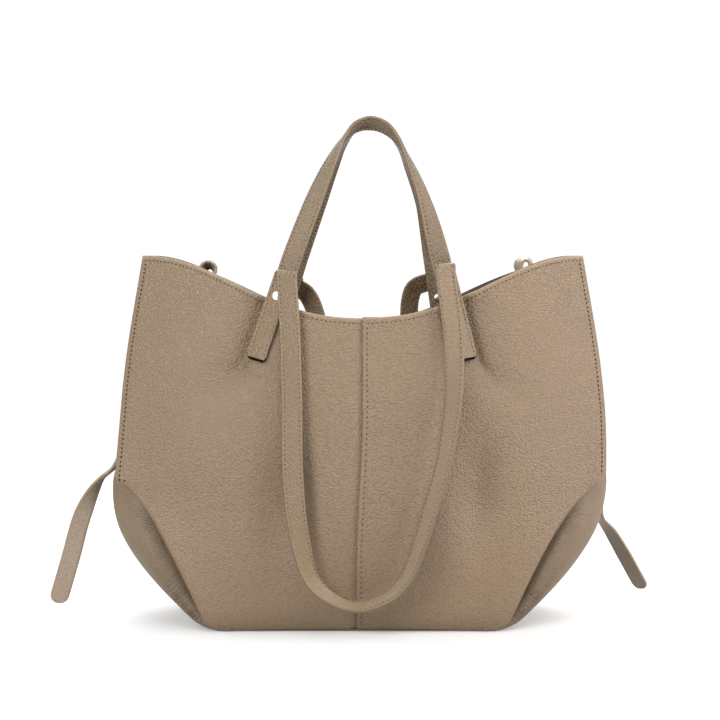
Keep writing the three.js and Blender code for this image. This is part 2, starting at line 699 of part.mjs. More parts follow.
// Assembly: body
const ends = [['left', -1], ['right', 1]];
for (const [name, side] of ends) {
  addPiece(`front_panel_${name}`, bodyPanel(side, 0), panelLeather);
  addPiece(`back_panel_${name}`, mirrored(bodyPanel(side, BACK_RIM_RISE)), panelLeather);
  addPiece(`${name}_gusset`, gusset(side), gussetLeather);
}
addPiece('base_panel', basePanel(), gussetLeather);
addPiece('base_board', baseBoard(), boardStock);
addPiece('front_facing', rimFacing(0), innerLeather);
addPiece('back_facing', mirrored(rimFacing(BACK_RIM_RISE)), innerLeather);

// Assembly: handles, shoulder straps, tabs and rivets of both faces
const faces = [
  { name: 'front', rise: 0, place: (geometry) => geometry, strap: FRONT_STRAP_SHAPE },
  { name: 'back', rise: BACK_RIM_RISE, place: mirrored, strap: BACK_STRAP_SHAPE },
];
for (const { name, rise, place, strap } of faces) {
  for (const [hand, side] of ends) {
    const frame = rivetFrame(side, rise);
    const hole = rivetHole().applyMatrix4(frame);
    const tab = ribbon(tabStations(side, rise), STRAP_THICKNESS);
    addPiece(`${name}_${hand}_strap_tab`, place(cut(tab, hole)), strapLeather);
    addPiece(`${name}_${hand}_handle_end`, place(cut(handleEnd(side, rise), hole)), strapLeather);
    addPiece(`${name}_${hand}_rivet_cap`, place(rivetCap().applyMatrix4(frame)), chrome);
    addPiece(`${name}_${hand}_rivet_post`, place(rivetPost().applyMatrix4(frame)), chrome);
  }
  addPiece(`${name}_handle`, place(handle(rise)), strapLeather);
  addPiece(`${name}_shoulder_strap`, place(shoulderStrap(strap, rise)), strapLeather);
}

// Assembly: side ties
addPiece('left_tie_loop', tieLoop(-1), strapLeather);
addPiece('right_tie_loop', tieLoop(1), strapLeather);
addPiece('left_side_tie', sideTie(-1, LEFT_TIE), strapLeather);
addPiece('right_side_tie', sideTie(1, RIGHT_TIE), strapLeather);

export default bag;
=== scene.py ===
"""The looks of a soft leather tote bag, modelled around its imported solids. Sizes are in millimetres."""
import math

import bmesh
import bpy
from mathutils import Matrix, Vector, noise


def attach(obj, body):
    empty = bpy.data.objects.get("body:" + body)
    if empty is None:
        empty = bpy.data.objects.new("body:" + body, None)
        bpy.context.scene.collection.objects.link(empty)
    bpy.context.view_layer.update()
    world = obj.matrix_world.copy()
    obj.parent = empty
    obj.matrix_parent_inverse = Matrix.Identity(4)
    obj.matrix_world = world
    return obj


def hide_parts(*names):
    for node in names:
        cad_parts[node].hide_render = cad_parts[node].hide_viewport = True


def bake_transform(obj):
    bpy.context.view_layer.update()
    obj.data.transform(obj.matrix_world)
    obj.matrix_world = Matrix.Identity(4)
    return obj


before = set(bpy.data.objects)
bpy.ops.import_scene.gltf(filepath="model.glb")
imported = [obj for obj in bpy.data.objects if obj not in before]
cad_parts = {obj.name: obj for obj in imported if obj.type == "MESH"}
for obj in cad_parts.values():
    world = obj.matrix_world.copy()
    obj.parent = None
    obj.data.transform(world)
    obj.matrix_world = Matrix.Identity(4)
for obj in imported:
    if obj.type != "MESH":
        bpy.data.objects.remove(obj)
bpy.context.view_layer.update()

MM = 0.001
FRONT = Vector((0, -1, 0))

# Leather thicknesses
PANEL_THICKNESS = 2.0
GUSSET_THICKNESS = 1.6
FACING_THICKNESS = 1.2
BASE_THICKNESS = 1.8
STRAP_THICKNESS = 3.0
TIE_THICKNESS = 2.6

# Body panels, close to the form of the solids
RIM_HEIGHT = 285.0
CORNER_RISE = 62.0
BACK_RIM_RISE = 5.0
CORNER_HALF_WIDTH = 211.0
CORNER_HALF_DEPTH = 15.0
CORNER_HEIGHT = RIM_HEIGHT + CORNER_RISE
RIM_HALF_DEPTH = 65.0
BELLY = 16.0
SEAM_END_HEIGHT = 137.0
SEAM_HALF_WIDTH = 228.0
SEAM_HALF_DEPTH = 48.0
FOOT_HALF_LENGTH = 135.0
BASE_HALF_DEPTH = 75.0
FLOOR_OF_WALLS = 2.3
RIM_SWEEP = 1.15
SIDE_SWELL = 0.07
FOLD_SWEEP = 0.66
FOLD_FORWARD = 2.2
BELLY_DROP = 0.95
PANEL_FLATNESS = 2.5
SOFT_BEND = 0.12
SOFT_REACH = 30.0

# Softness of the standing bag: rolled folds and feet, the lean of the lower body, and the arched base
SEAM_LAP = 8.0
LAP_STEP = 2.3
LAP_RISE = 1.3
LAP_RISE_FADE = 25.0
LAP_EASE = 9.0
EDGE_ROLL = 1.4
EDGE_ROLL_ANGLE = 70.0
FOLD_ROLL = 4.0
FOLD_ROLL_ANGLE = 110.0
FOLD_ONSET = 3.5
FOOT_ROLL = 8.0
FOOT_ROLL_HEIGHT = 22.0
HEM_HEIGHT = 1.3
LEAN = 5.4
LEAN_LOW = 60.0
LEAN_HIGH = 205.0
ARCH = 1.6
ARCH_HEIGHT = 60.0
CORNER_ROUND = 13.0
RIM_BAND = 1.6
RIM_BAND_SHARE = 0.75
BACK_SWELL = 2.6
BACK_SWELL_AT = 0.52
BACK_SWELL_SPAN = 0.2

# Slow swells of the panels, and where they fade out
RELIEF = 2.2
WAVE_WIDTH = 75.0
WAVE_HEIGHT = 95.0
WAVE_SEED = 3.7
WAVE_LEVEL = 0.25
WAVE_TOP = 250.0
WAVE_TOP_FADE = 70.0
WAVE_FOOT_FADE = 40.0
WAVE_EDGE_FADE = 40.0

# Hollow and crease beside each sewn tab, and where they fade out
TAB_HOLLOW = 6.5
TAB_HOLLOW_WIDTH = 23.0
TAB_HOLLOW_GAP = 1.0
TAB_HOLLOW_DRIFT = 0.5
TAB_HOLLOW_SPREAD = 20.0
TAB_HOLLOW_FOOT = 195.0
TAB_HOLLOW_FOOT_FADE = 45.0
TAB_HOLLOW_TOP = 312.0
TAB_HOLLOW_TOP_FADE = 16.0
TAB_CREASE = 3.5
TAB_CREASE_WIDTH = 6.5
TAB_CREASE_FADE = 30.0
TAB_FLANK = 4.0

# Soft hollows of the panels: x, z, half width, half height and depth
HOLLOWS = (
    (-66, 120, 21, 50, 11.0),
    (108, 130, 20, 50, 11.0),
)

# Gussets: the bulge below the seams, the valley above it, and the tuck under the panels
BULGE_HALF_WIDTH = 239.0
BULGE_HEIGHT = 130.0
VALLEY_HALF_WIDTH = 150.0
VALLEY_HEIGHT = CORNER_HEIGHT - 14.0
VALLEY_SPREAD = 18.0
GUSSET_FOOT_HALF_LENGTH = 151.5
SEAM_TUCK = 6.0
FOLD_TUCK = 11.0
TUCK_EASE = 4.0
GUSSET_SEAT = 0.7
GUSSET_FULLNESS = 2.2
FULLNESS_ONSET = 2.5
BULGE_FULLNESS = 1.06
VALLEY_SWEEP = 0.8
FOOT_TUCK = 4.0
FOOT_TUCK_HEIGHT = 6.0

# Groove of the gussets beside the folds: a quick share just below the seam's end, the rest further down
GROOVE = 12.0
GROOVE_AT = 0.1
GROOVE_SPAN = 0.16
GROOVE_FOOT = 10.0
GROOVE_FOOT_FADE = 45.0
GROOVE_QUICK = 0.25
QUICK_ONSET = 14.0
SLOW_ONSET = 2.4
SLOW_DELAY = 0.1

# Fine gathers of the gussets: depth, pitch, slant, reach and unevenness
WRINKLE = 2.4
WRINKLE_PITCH = 3.1
WRINKLE_SLANT = 0.64
WRINKLE_ONSET = 3.0
WRINKLE_FOOT_FADE = 16.0
WRINKLE_REACH = 18.0
WRINKLE_FADE = 26.0
WRINKLE_ROUNDNESS = 0.7
WRINKLE_LEVEL = 0.8
WRINKLE_OUT = 0.6
WRINKLE_FORWARD = 0.8
# Strength of the painted shade in the bottoms of the gathers
WRINKLE_SHADE = 1.1
WANDER = 2.0
WANDER_LENGTH = 11.0
WANDER_REACH = 25.0
WANDER_SEED = 1.3
UNEVEN = 0.6
UNEVEN_LENGTH = 7.0
UNEVEN_REACH = 40.0
UNEVEN_SEED = 4.1

# Base and its board
BASE_PANEL_HALF_DEPTH = 68.0
BASE_PANEL_HALF_LENGTH = 127.0
BASE_PANEL_SWELL = 8.0
BASE_LIFT = 0.1
BOARD_LENGTH = 236.0
BOARD_DEPTH = 2 * BASE_PANEL_HALF_DEPTH
BOARD_CORNER = 12.0
BOARD_HEIGHT = 3.7
BOARD_THICKNESS = 2.4

# Facings inside the rims: depth, drop below the rim, share of the body's width, and step at the lapped seam
FACING_DEPTH = 25.0
FACING_DROP = 1.5
FACING_SPAN = 0.8
FACING_STEP_AT = -1.5
FACING_STEP_FADE = 5.0

# Straps and their sewn tabs; the strap goes on from its tab at a share just past the middle of the fold
STRAP_WIDTH = 18.6
TAB_FOOT_HALF_SPREAD = 95.0
TAB_FOOT_HEIGHT = RIM_HEIGHT - 39.0
TAB_TOP_HALF_SPREAD = 72.5
TAB_TOP_HEIGHT = RIM_HEIGHT + 42.0
TAB_LEAN = 3.5
# By side and whether it is at the back: sideways shifts of a tab's foot and top, and of the fold over it
TAB_SHIFT = {
    (-1, False): (-2.5, -2.5), (1, False): (0, 0),
    (-1, True): (-2.5, -2.5), (1, True): (-8, -1.5),
}
FOLD_DRIFT = {(-1, False): 3.6, (1, False): 0, (-1, True): 2.5, (1, True): 0}
TAB_CORNER = 4.6
CORNER_STEPS = 6
END_SLIVER = 0.05
NOSE = 1.3
NOSE_LEAST = 0.3
# How far the dark edge paint and painted shadow reach up a tab's end and its sides
DARK_END = 2.1
DARK_SIDE = 6.0
SIDE_FACING = 0.6
TAB_SKEW = 3.4
TAB_SEAT = 0.6
FOLD_GAP = 2.6
FOLD_RADIUS = (FOLD_GAP + STRAP_THICKNESS) / 2
FOLD_STEPS = 6
FOLD_SPLIT = 0.502
CLEARANCE = 0.3
TAB_OFFSET = PANEL_THICKNESS / 2 + TAB_SEAT + STRAP_THICKNESS / 2
STRAIGHT_LENGTH = 6.0
STRAP_BOTTOM = 29.0
STRAP_STANDOFF = 7.0

# Section of a strap: rounded corners, crowned faces, the share of its width that is edge-painted, and the
# share of its underside that takes painted shade
SECTION_ROUND = 0.36
SECTION_CUTS = 7
CROWN = 0.22
CROWN_SPAN = 0.75
PAINT_START = 0.9
PAINT_EASE = 0.06
SHADED_UNDERSIDE_SPAN = 0.93

# Handles
HANDLE_END_HEIGHT = RIM_HEIGHT - 9.0
FLEX_HEIGHT = RIM_HEIGHT + 53.0
HANDLE_TOP = RIM_HEIGHT + 191.5
HANDLE_APART = 0.6
HANDLE_END_OFFSET = PANEL_THICKNESS / 2 + CLEARANCE + FACING_THICKNESS + TAB_SEAT + STRAP_THICKNESS / 2

# Side ties
TIE_WIDTH = 18.0
TIE_TIP_WIDTH = 1.0
TIE_LOOP_RADIUS = 6.0
TIE_LOOP_HEIGHT = VALLEY_HEIGHT + 4.0
TIE_ANCHOR_LENGTH = 36.0
TIE_BACK_SHARE = 0.75
LOOP_TURN = 72.0
TIE_LEAN_FADE = 60.0
TIE_TWIST_SPAN = 0.55
TIE_STEP = 3.0
TIE_EDGE_ON = 90.0
TIE_OFF_LATE = 12
TIE_BACK_LATE = 3
ANCHOR_SHARES = (0, 0.35, 0.7)
LOOP_STEPS = 6
FALL_SHARES = (0.2, 0.45, 0.6, 0.7, 0.8, 0.88, 1)
END_SHARES = (0.22, 0.5, 0.78, 1)
# Shoulder above the bulge, reach and drop of the free end, how far back it goes, its twist and its standoff
LEFT_TIE = {"shoulder": 12, "reach": 57, "drop": 132, "back": 0, "turn": 15, "fall": 1.6, "twist": 1.12,
            "shift": (0, -3), "seat": 4.5, "off": 4.5}
RIGHT_TIE = {"shoulder": -40, "reach": 43, "drop": 75, "back": 42, "turn": 129, "fall": 1.0, "twist": 0.85,
             "shift": (8, 3), "seat": 0.5, "off": 11}

# Rivets: rise above the rim, size, and the profile as shares of radius and height
RIVET_RISE = 2.6
BACK_RIVET_RISE = 6.0
RIVET_RADIUS = 4.5
RIVET_HEIGHT = 1.7
RIVET_SEAT = 0.1
RIVET_STUB = 0.4
RIVET_STEPS = 32
RIVET_PROFILE = ((0.0, 1.0), (0.45, 0.94), (0.78, 0.72), (0.97, 0.36), (1.0, 0.12), (0.93, 0.0), (0.45, 0.0))

# Stitches: pitch of a row, length and thickness of the thread, and the needle hole, a dark mark of painted
# shade
STITCH_PITCH = 4.2
SEAM_PITCH = 4.8
THREAD_LENGTH = 2.7
THREAD_THICKNESS = 0.62
THREAD_FLATNESS = 0.7
THREAD_SEAT = 0.08
BODY_THREAD_SEAT = 0.05
HOLE_LENGTH = 1.8
HOLE_WIDTH = 1.15
HOLE_HEIGHT = 0.4
STRAP_HOLE = 0.85
SIDE_HOLE = 1.5
STITCH_BATCH = 12
RIM_ROW = 4.8
SIDE_ROW = 4.6
SEAM_ROW = 3.8
STRAP_ROW = 2.4
ROW_STEPS = 160
RIM_ROW_START = 0.003
RIM_ROW_END = 0.975
SIDE_ROW_END = {-1: -2.0, 1: 9.0}
SEAM_ROW_FOOT = 8.0

# Colours of the finishes
TAUPE = (0.165, 0.11, 0.061)
# A darker copy of the panel leather for the gussets and the base: painted shade
TAUPE_PAINTED_SHADE = (0.138, 0.094, 0.053)
TAUPE_LIGHT = (0.225, 0.161, 0.102)
TAUPE_DARK = (0.15, 0.1, 0.06)
STRAP_TAUPE = (0.158, 0.107, 0.057)
STRAP_EDGE = (0.12, 0.08, 0.042)
# The handles are a darker copy of the strap leather: painted shade
HANDLE_TAUPE_PAINTED_SHADE = (0.133, 0.092, 0.05)
# The side ties are a lighter, paler copy of the leather: painted sheen
TIE_TAUPE_PAINTED_SHEEN = (0.22, 0.163, 0.112)
# The suede inside is made near black: its own dark colour together with painted shade inside the bag
SUEDE_AND_INNER_SHADE = (0.06, 0.04, 0.027)
# Painted shade on the underside of the side ties
UNDERSIDE_SHADE = (0.12, 0.08, 0.042)
# Painted shade in the bottoms of the gussets' gathers
CREASE_SHADE_BROWN = (0.03, 0.02, 0.012)
BOARD_BROWN = (0.14, 0.1, 0.07)
THREAD_TAUPE = (0.2, 0.14, 0.088)
# Painted shade in the needle holes
HOLE_SHADE_BROWN = (0.035, 0.02, 0.012)
# Dark edge paint on the tabs' feet, which also stands in for painted shadow there
EDGE_PAINT_AND_SHADOW_DARK = (0.006, 0.004, 0.003)
CHROME = (0.88, 0.89, 0.9)
FLOOR_GREY = (0.5, 0.5, 0.5)

# Grain of the leather: slant and stretch of its cells, how far they wander, and shares of pores and tone
GRAIN_SLANT = math.radians(35)
GRAIN_STRETCH = (0.8, 0.95, 1.16)
GRAIN_WARP = 0.55
PORES = 0.3
TONE = 0.03
PEBBLE_LIGHT = 1.05


def lerp(a, b, share):
    return a + (b - a) * share


def clamp(value):
    return max(0.0, min(1.0, value))


def ease(share):
    share = clamp(share)
    return share * share * (3 - 2 * share)


# Materials


def new_material(name, color, roughness, metallic=0.0, specular=0.55):
    material = bpy.data.materials.new(name)
    material.use_nodes = True
    shader = material.node_tree.nodes["Principled BSDF"]
    shader.inputs["Base Color"].default_value = (*color, 1)
    shader.inputs["Roughness"].default_value = roughness
    shader.inputs["Metallic"].default_value = metallic
    shader.inputs["Specular IOR Level"].default_value = specular
    return material, material.node_tree, shader


def add_node(tree, kind, values=None, **settings):
    """A new node with its settings and the values of its sockets."""
    node = tree.nodes.new(kind)
    for key, value in settings.items():
        setattr(node, key, value)
    for socket, value in (values or {}).items():
        node.inputs[socket].default_value = value
    return node


def pebbled_grain(tree, place, grain_size):
    """Rounded cells with creases between them, and their height with fine pores added."""
    link = tree.links.new
    size = grain_size * MM
    stretched = add_node(tree, "ShaderNodeMapping", {"Rotation": (0, GRAIN_SLANT, 0), "Scale": GRAIN_STRETCH})
    link(place.outputs["Object"], stretched.inputs["Vector"])
    warp = add_node(tree, "ShaderNodeTexNoise", {"Scale": 0.5 / size, "Detail": 1})
    link(stretched.outputs["Vector"], warp.inputs["Vector"])
    centred = add_node(tree, "ShaderNodeVectorMath", {1: (0.5, 0.5, 0.5)}, operation="SUBTRACT")
    link(warp.outputs["Color"], centred.inputs[0])
    moved = add_node(tree, "ShaderNodeVectorMath", {1: (GRAIN_WARP * size,) * 3}, operation="MULTIPLY_ADD")
    link(centred.outputs[0], moved.inputs[0])
    link(stretched.outputs["Vector"], moved.inputs[2])
    cells = add_node(tree, "ShaderNodeTexVoronoi", {"Scale": 1 / size, "Smoothness": 0.12},
                     feature="SMOOTH_F1")
    link(moved.outputs[0], cells.inputs["Vector"])
    square = add_node(tree, "ShaderNodeMath", operation="MULTIPLY")
    link(cells.outputs["Distance"], square.inputs[0])
    link(cells.outputs["Distance"], square.inputs[1])
    pebble = add_node(tree, "ShaderNodeMapRange", {"From Min": 0.55, "From Max": 0.0})
    link(square.outputs[0], pebble.inputs["Value"])
    pores = add_node(tree, "ShaderNodeTexNoise", {"Scale": 1.6 / size, "Detail": 2})
    link(stretched.outputs["Vector"], pores.inputs["Vector"])
    height = add_node(tree, "ShaderNodeMath", {1: PORES}, operation="MULTIPLY_ADD")
    link(pores.outputs["Fac"], height.inputs[0])
    link(pebble.outputs["Result"], height.inputs[2])
    return pebble.outputs["Result"], height.outputs[0]


def grain_color(tree, place, pebble, color, crease):
    """The leather's colour with slow changes of tone, darker in the creases: partly darker dye, partly
    painted shade.
    """
    link = tree.links.new
    patches = add_node(tree, "ShaderNodeTexNoise", {"Scale": 14, "Detail": 4})
    link(place.outputs["Object"], patches.inputs["Vector"])
    shade = add_node(tree, "ShaderNodeMapRange",
                     {"From Min": 0.3, "From Max": 0.7, "To Min": 1 - TONE, "To Max": 1 + TONE})
    link(patches.outputs["Fac"], shade.inputs["Value"])
    lines = add_node(tree, "ShaderNodeMapRange", {"To Min": crease, "To Max": PEBBLE_LIGHT})
    link(pebble, lines.inputs["Value"])
    both = add_node(tree, "ShaderNodeMath", operation="MULTIPLY")
    link(shade.outputs["Result"], both.inputs[0])
    link(lines.outputs["Result"], both.inputs[1])
    tint = add_node(tree, "ShaderNodeVectorMath", {0: color}, operation="SCALE")
    link(both.outputs[0], tint.inputs["Scale"])
    return tint.outputs[0]


def leather(name, color, grain_size, grain_depth, edge, shaded_underside=None, roughness=0.46, crease=0.86):
    """Pebbled leather, in other colours where the mesh is marked, for edge paint, a smooth rim band and
    painted shade; painted marks and the foot are smoother.
    """
    material, tree, shader = new_material(name, color, roughness)
    link = tree.links.new
    place = add_node(tree, "ShaderNodeTexCoord")
    pebble, height = pebbled_grain(tree, place, grain_size)
    shown = grain_color(tree, place, pebble, color, crease)
    painted = add_node(tree, "ShaderNodeAttribute", attribute_name="painted")
    marks = [(painted, edge)]
    if shaded_underside:
        marks.append((add_node(tree, "ShaderNodeAttribute", attribute_name="shaded_underside"), shaded_underside))
    for mark, mark_color in marks:
        mixed = add_node(tree, "ShaderNodeMix", {"B": (*mark_color, 1)}, data_type="RGBA")
        link(mark.outputs["Fac"], mixed.inputs["Factor"])
        link(shown, mixed.inputs["A"])
        shown = mixed.outputs["Result"]
    link(shown, shader.inputs["Base Color"])
    split = add_node(tree, "ShaderNodeSeparateXYZ")
    link(place.outputs["Object"], split.inputs[0])
    upper = add_node(tree, "ShaderNodeMapRange", {"From Min": 0.02, "From Max": 0.2, "To Min": 0.5},
                     interpolation_type="SMOOTHSTEP")
    link(split.outputs["Z"], upper.inputs["Value"])
    strength = add_node(tree, "ShaderNodeMath", {1: -1.0}, operation="MULTIPLY_ADD", use_clamp=True)
    link(painted.outputs["Fac"], strength.inputs[0])
    link(upper.outputs["Result"], strength.inputs[2])
    bump = add_node(tree, "ShaderNodeBump", {"Distance": grain_depth * MM})
    link(strength.outputs[0], bump.inputs["Strength"])
    link(height, bump.inputs["Height"])
    link(bump.outputs["Normal"], shader.inputs["Normal"])
    return material


def plain_finish(name, color, roughness, grain=2500.0, depth=0.05, metallic=0.0, tone=0.06, specular=0.4):
    """A finish with a fine random surface, for cut edges, thread, suede, board, metal and the floor."""
    material, tree, shader = new_material(name, color, roughness, metallic, specular)
    link = tree.links.new
    place = add_node(tree, "ShaderNodeTexCoord")
    fuzz = add_node(tree, "ShaderNodeTexNoise", {"Scale": grain, "Detail": 4})
    link(place.outputs["Object"], fuzz.inputs["Vector"])
    bump = add_node(tree, "ShaderNodeBump", {"Strength": 0.6, "Distance": depth * MM})
    link(fuzz.outputs["Fac"], bump.inputs["Height"])
    link(bump.outputs["Normal"], shader.inputs["Normal"])
    shade = add_node(tree, "ShaderNodeMapRange", {"To Min": 1 - tone, "To Max": 1 + tone})
    link(fuzz.outputs["Fac"], shade.inputs["Value"])
    tint = add_node(tree, "ShaderNodeVectorMath", {0: color}, operation="SCALE")
    link(shade.outputs["Result"], tint.inputs["Scale"])
    link(tint.outputs[0], shader.inputs["Base Color"])
    return material


panel_leather = leather("panel_leather", TAUPE, 1.8, 0.63, TAUPE_LIGHT, roughness=0.45, crease=0.8)
# The gussets and the base take a darker copy of the panel colour as painted shade, with more painted shade in
# the gathers
gusset_leather = leather("gusset_leather", TAUPE_PAINTED_SHADE, 2.0, 0.2, CREASE_SHADE_BROWN, roughness=0.6)
strap_leather = leather("strap_leather", STRAP_TAUPE, 1.7, 0.42, STRAP_EDGE)
handle_leather = leather("handle_leather", HANDLE_TAUPE_PAINTED_SHADE, 1.7, 0.42, STRAP_EDGE)
tie_leather = leather("tie_leather", TIE_TAUPE_PAINTED_SHEEN, 2.0, 0.3, TIE_TAUPE_PAINTED_SHEEN, UNDERSIDE_SHADE)
cut_edge = plain_finish("cut_edge", TAUPE_DARK, 0.6)
edge_paint_and_shadow = plain_finish("dark_edge_paint_and_shadow", EDGE_PAINT_AND_SHADOW_DARK, 0.9, specular=0.05)
suede = plain_finish("suede_inside_and_shade", SUEDE_AND_INNER_SHADE, 0.92, 900.0, 0.25, tone=0.16)
board_finish = plain_finish("base_board", BOARD_BROWN, 0.85, 1200.0, 0.15, tone=0.12)
thread = plain_finish("thread", THREAD_TAUPE, 0.7, 4000.0, 0.05)
needle_hole = plain_finish("needle_hole", HOLE_SHADE_BROWN, 0.9, specular=0.05)
chrome = plain_finish("rivet_chrome", CHROME, 0.32, 700.0, 0.01, 1.0, 0.03)


# Pieces


def finish_piece(bm, name, materials, body=None, replaced=(), smooth=True):
    mesh = bpy.data.meshes.new(name)
    bm.to_mesh(mesh)
    bm.free()
    for material in materials:
        mesh.materials.append(material)
    piece = bpy.data.objects.new(name, mesh)
    bpy.context.scene.collection.objects.link(piece)
    for polygon in mesh.polygons:
        polygon.use_smooth = smooth
    if body:
        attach(piece, body)
    if replaced:
        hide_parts(*replaced)
    return piece


def mapped_grid(columns, rows, place, mirror_back, mark=None):
    """A grid whose two coordinates, each from 0 to 1, are placed in space, and marked, by a function."""
    bm = bmesh.new()
    if mark:
        layer = bm.verts.layers.float.new("painted")
    bmesh.ops.create_grid(bm, x_segments=columns, y_segments=rows, size=0.5)
    for vert in bm.verts:
        if mark:
            vert[layer] = mark(vert.co.x + 0.5, vert.co.y + 0.5)
        point = place(vert.co.x + 0.5, vert.co.y + 0.5)
        vert.co = Vector((point.x, -point.y if mirror_back else point.y, point.z)) * MM
    if mirror_back:
        bmesh.ops.reverse_faces(bm, faces=bm.faces[:])
    return bm


def give_thickness(piece, thickness, inner=0, rim=0, bevel=0.5, even=True):
    """Thickness to both sides of the sheet; inner and rim count on from its material to the other two."""
    solidify = piece.modifiers.new("thickness", "SOLIDIFY")
    solidify.thickness = thickness * MM
    solidify.offset = 0
    solidify.use_even_offset = even
    solidify.material_offset = inner
    solidify.material_offset_rim = rim
    rounding = piece.modifiers.new("rounded_edges", "BEVEL")
    rounding.width = bevel * MM
    rounding.segments = 2
    rounding.limit_method = "ANGLE"
    rounding.angle_limit = math.radians(70)
    rounding.material = -1


# Form of the body


def above_seam_end(z):
    return (z - SEAM_END_HEIGHT) / (CORNER_HEIGHT - SEAM_END_HEIGHT)


def below_seam_end(z):
    return clamp((SEAM_END_HEIGHT - z) / (SEAM_END_HEIGHT - FLOOR_OF_WALLS))


def side_edge(z):
    if z >= SEAM_END_HEIGHT:
        up = above_seam_end(z)
        sweep = math.cos(up * math.pi / 2) + SIDE_SWELL * math.sin(up * math.pi) ** 2
        return CORNER_HALF_WIDTH + (SEAM_HALF_WIDTH - CORNER_HALF_WIDTH) * sweep
    rounding = clamp(1 - z / CORNER_ROUND)
    corner = CORNER_ROUND * (1 - math.sqrt(1 - rounding * rounding))
    return SEAM_HALF_WIDTH - (SEAM_HALF_WIDTH - FOOT_HALF_LENGTH) * below_seam_end(z) ** FOLD_SWEEP - corner


def edge_depth(z):
    if z >= SEAM_END_HEIGHT:
        return lerp(SEAM_HALF_DEPTH, CORNER_HALF_DEPTH, above_seam_end(z))
    return lerp(SEAM_HALF_DEPTH, BASE_HALF_DEPTH, 1 - (1 - below_seam_end(z)) ** FOLD_FORWARD)


def middle_depth(z):
    up = max(z, 0) / RIM_HEIGHT
    return lerp(BASE_HALF_DEPTH, RIM_HALF_DEPTH, up) + BELLY * math.sin(math.pi * up ** BELLY_DROP)


def panel_depth(x, z):
    """Depth of the panel; away from its edge the bend at the height of the seam's end is softened."""
    edge = side_edge(z)
    down = (SEAM_END_HEIGHT - z) / (SEAM_END_HEIGHT - FLOOR_OF_WALLS)
    soft = SOFT_BEND * ease((edge - abs(x)) / SOFT_REACH)
    below = below_seam_end(z)
    bent = clamp(below + (math.hypot(down, soft) - abs(down)) / 2)
    edge -= (SEAM_HALF_WIDTH - FOOT_HALF_LENGTH) * (bent ** FOLD_SWEEP - below ** FOLD_SWEEP)
    forward = (1 - below) ** FOLD_FORWARD - (1 - bent) ** FOLD_FORWARD
    edge_at = edge_depth(z) + (BASE_HALF_DEPTH - SEAM_HALF_DEPTH) * forward
    return lerp(middle_depth(z), edge_at, min(abs(x) / edge, 1) ** PANEL_FLATNESS)


def rim_height(share, rise, side):
    sweep = ((1 - math.cos(math.pi * share)) / 2) ** RIM_SWEEP
    height = RIM_HEIGHT + CORNER_RISE * sweep + rise * (1 - share)
    if rise > 0 and side > 0:
        height += BACK_SWELL * math.exp(-((share - BACK_SWELL_AT) / BACK_SWELL_SPAN) ** 2)
    return height


def on_panel(x, z):
    return Vector((x, -panel_depth(x, z), z))


def panel_face(x, z):
    along = on_panel(x + 1, z) - on_panel(x - 1, z)
    up = on_panel(x, z + 1) - on_panel(x, z - 1)
    return along.cross(up).normalized()


def off_panel(x, z, offset):
    return on_panel(x, z) + panel_face(x, z) * offset


def lean(z):
    return LEAN * (1 - ease((z - LEAN_LOW) / (LEAN_HIGH - LEAN_LOW)))


def settle(point):
    """The lower body leans a little to one side, and the middle of the base stands off the floor."""
    low = max(0, 1 - point.z / ARCH_HEIGHT)
    arch = ARCH * low * max(0, 1 - (point.x / FOOT_HALF_LENGTH) ** 2)
    return Vector((point.x - lean(point.z), point.y, point.z + arch))


def slow_swell(x, z):
    """Slow swells of the soft leather, which fade out at the rim, the foot and the sides."""
    wave = noise.noise(Vector((x / WAVE_WIDTH, z / WAVE_HEIGHT, WAVE_SEED))) - WAVE_LEVEL
    fade = ease((WAVE_TOP - z) / WAVE_TOP_FADE) * ease(z / WAVE_FOOT_FADE)
    fade *= ease((side_edge(z) - abs(x)) / WAVE_EDGE_FADE)
    return RELIEF * wave * fade


def tab_sinking(x, z):
    """The hollow beside a sewn tab, with a crease in it; below the tab it widens and drifts outwards."""
    tab_x, tab_lean = tab_line(math.copysign(1, x), z, 0)
    below_tab = max(0, TAB_FOOT_HEIGHT - z)
    beyond = abs(x) - abs(tab_x + tab_lean) - STRAP_WIDTH / 2 - TAB_HOLLOW_GAP
    beyond -= TAB_HOLLOW_DRIFT * below_tab
    if beyond > 0:
        hollow_width = TAB_HOLLOW_WIDTH
        crease_width = TAB_CREASE_WIDTH
    else:
        hollow_width = lerp(TAB_FLANK, TAB_HOLLOW_WIDTH, ease(below_tab / TAB_HOLLOW_SPREAD))
        crease_width = TAB_FLANK
    hollow = math.exp(-(beyond / hollow_width) ** 2)
    crease = math.exp(-(beyond / crease_width) ** 2) * (1 - ease(below_tab / TAB_CREASE_FADE))
    above_foot = ease((z - TAB_HOLLOW_FOOT) / TAB_HOLLOW_FOOT_FADE)
    high = above_foot * ease((TAB_HOLLOW_TOP - z) / TAB_HOLLOW_TOP_FADE)
    return (TAB_HOLLOW * hollow + TAB_CREASE * crease) * high


def relief(x, z):
    """How far the soft leather stands out from the panel's plain form."""
    sunk = tab_sinking(x, z)
    for at_x, at_z, half_width, half_height, depth in HOLLOWS:
        sunk += depth * math.exp(-((x - at_x) / half_width) ** 2 - ((z - at_z) / half_height) ** 2)
    return slow_swell(x, z) - sunk


def lap_dip(side, x):
    """How far the left panel steps back to run under the right one; x grows towards its own side."""
    return LAP_STEP * ease(1 - x / LAP_EASE) if side < 0 else 0


def lap_rise(x):
    """The right panel stands a little higher than the left one where it laps over it."""
    return LAP_RISE * math.exp(-x / LAP_RISE_FADE)


def panel_skin(side, x, z):
    """The middle surface of one panel; x is measured from the centre seam towards its side."""
    depth = panel_depth(max(x, 0), z) + relief(side * x, z) - lap_dip(side, x)
    return Vector((side * x, -depth, z))


# Body panels
PANEL_COLUMNS = 110
PANEL_ROWS = 100
FOOT_SHARE = 0.1
ROLL_SHARE = 0.1


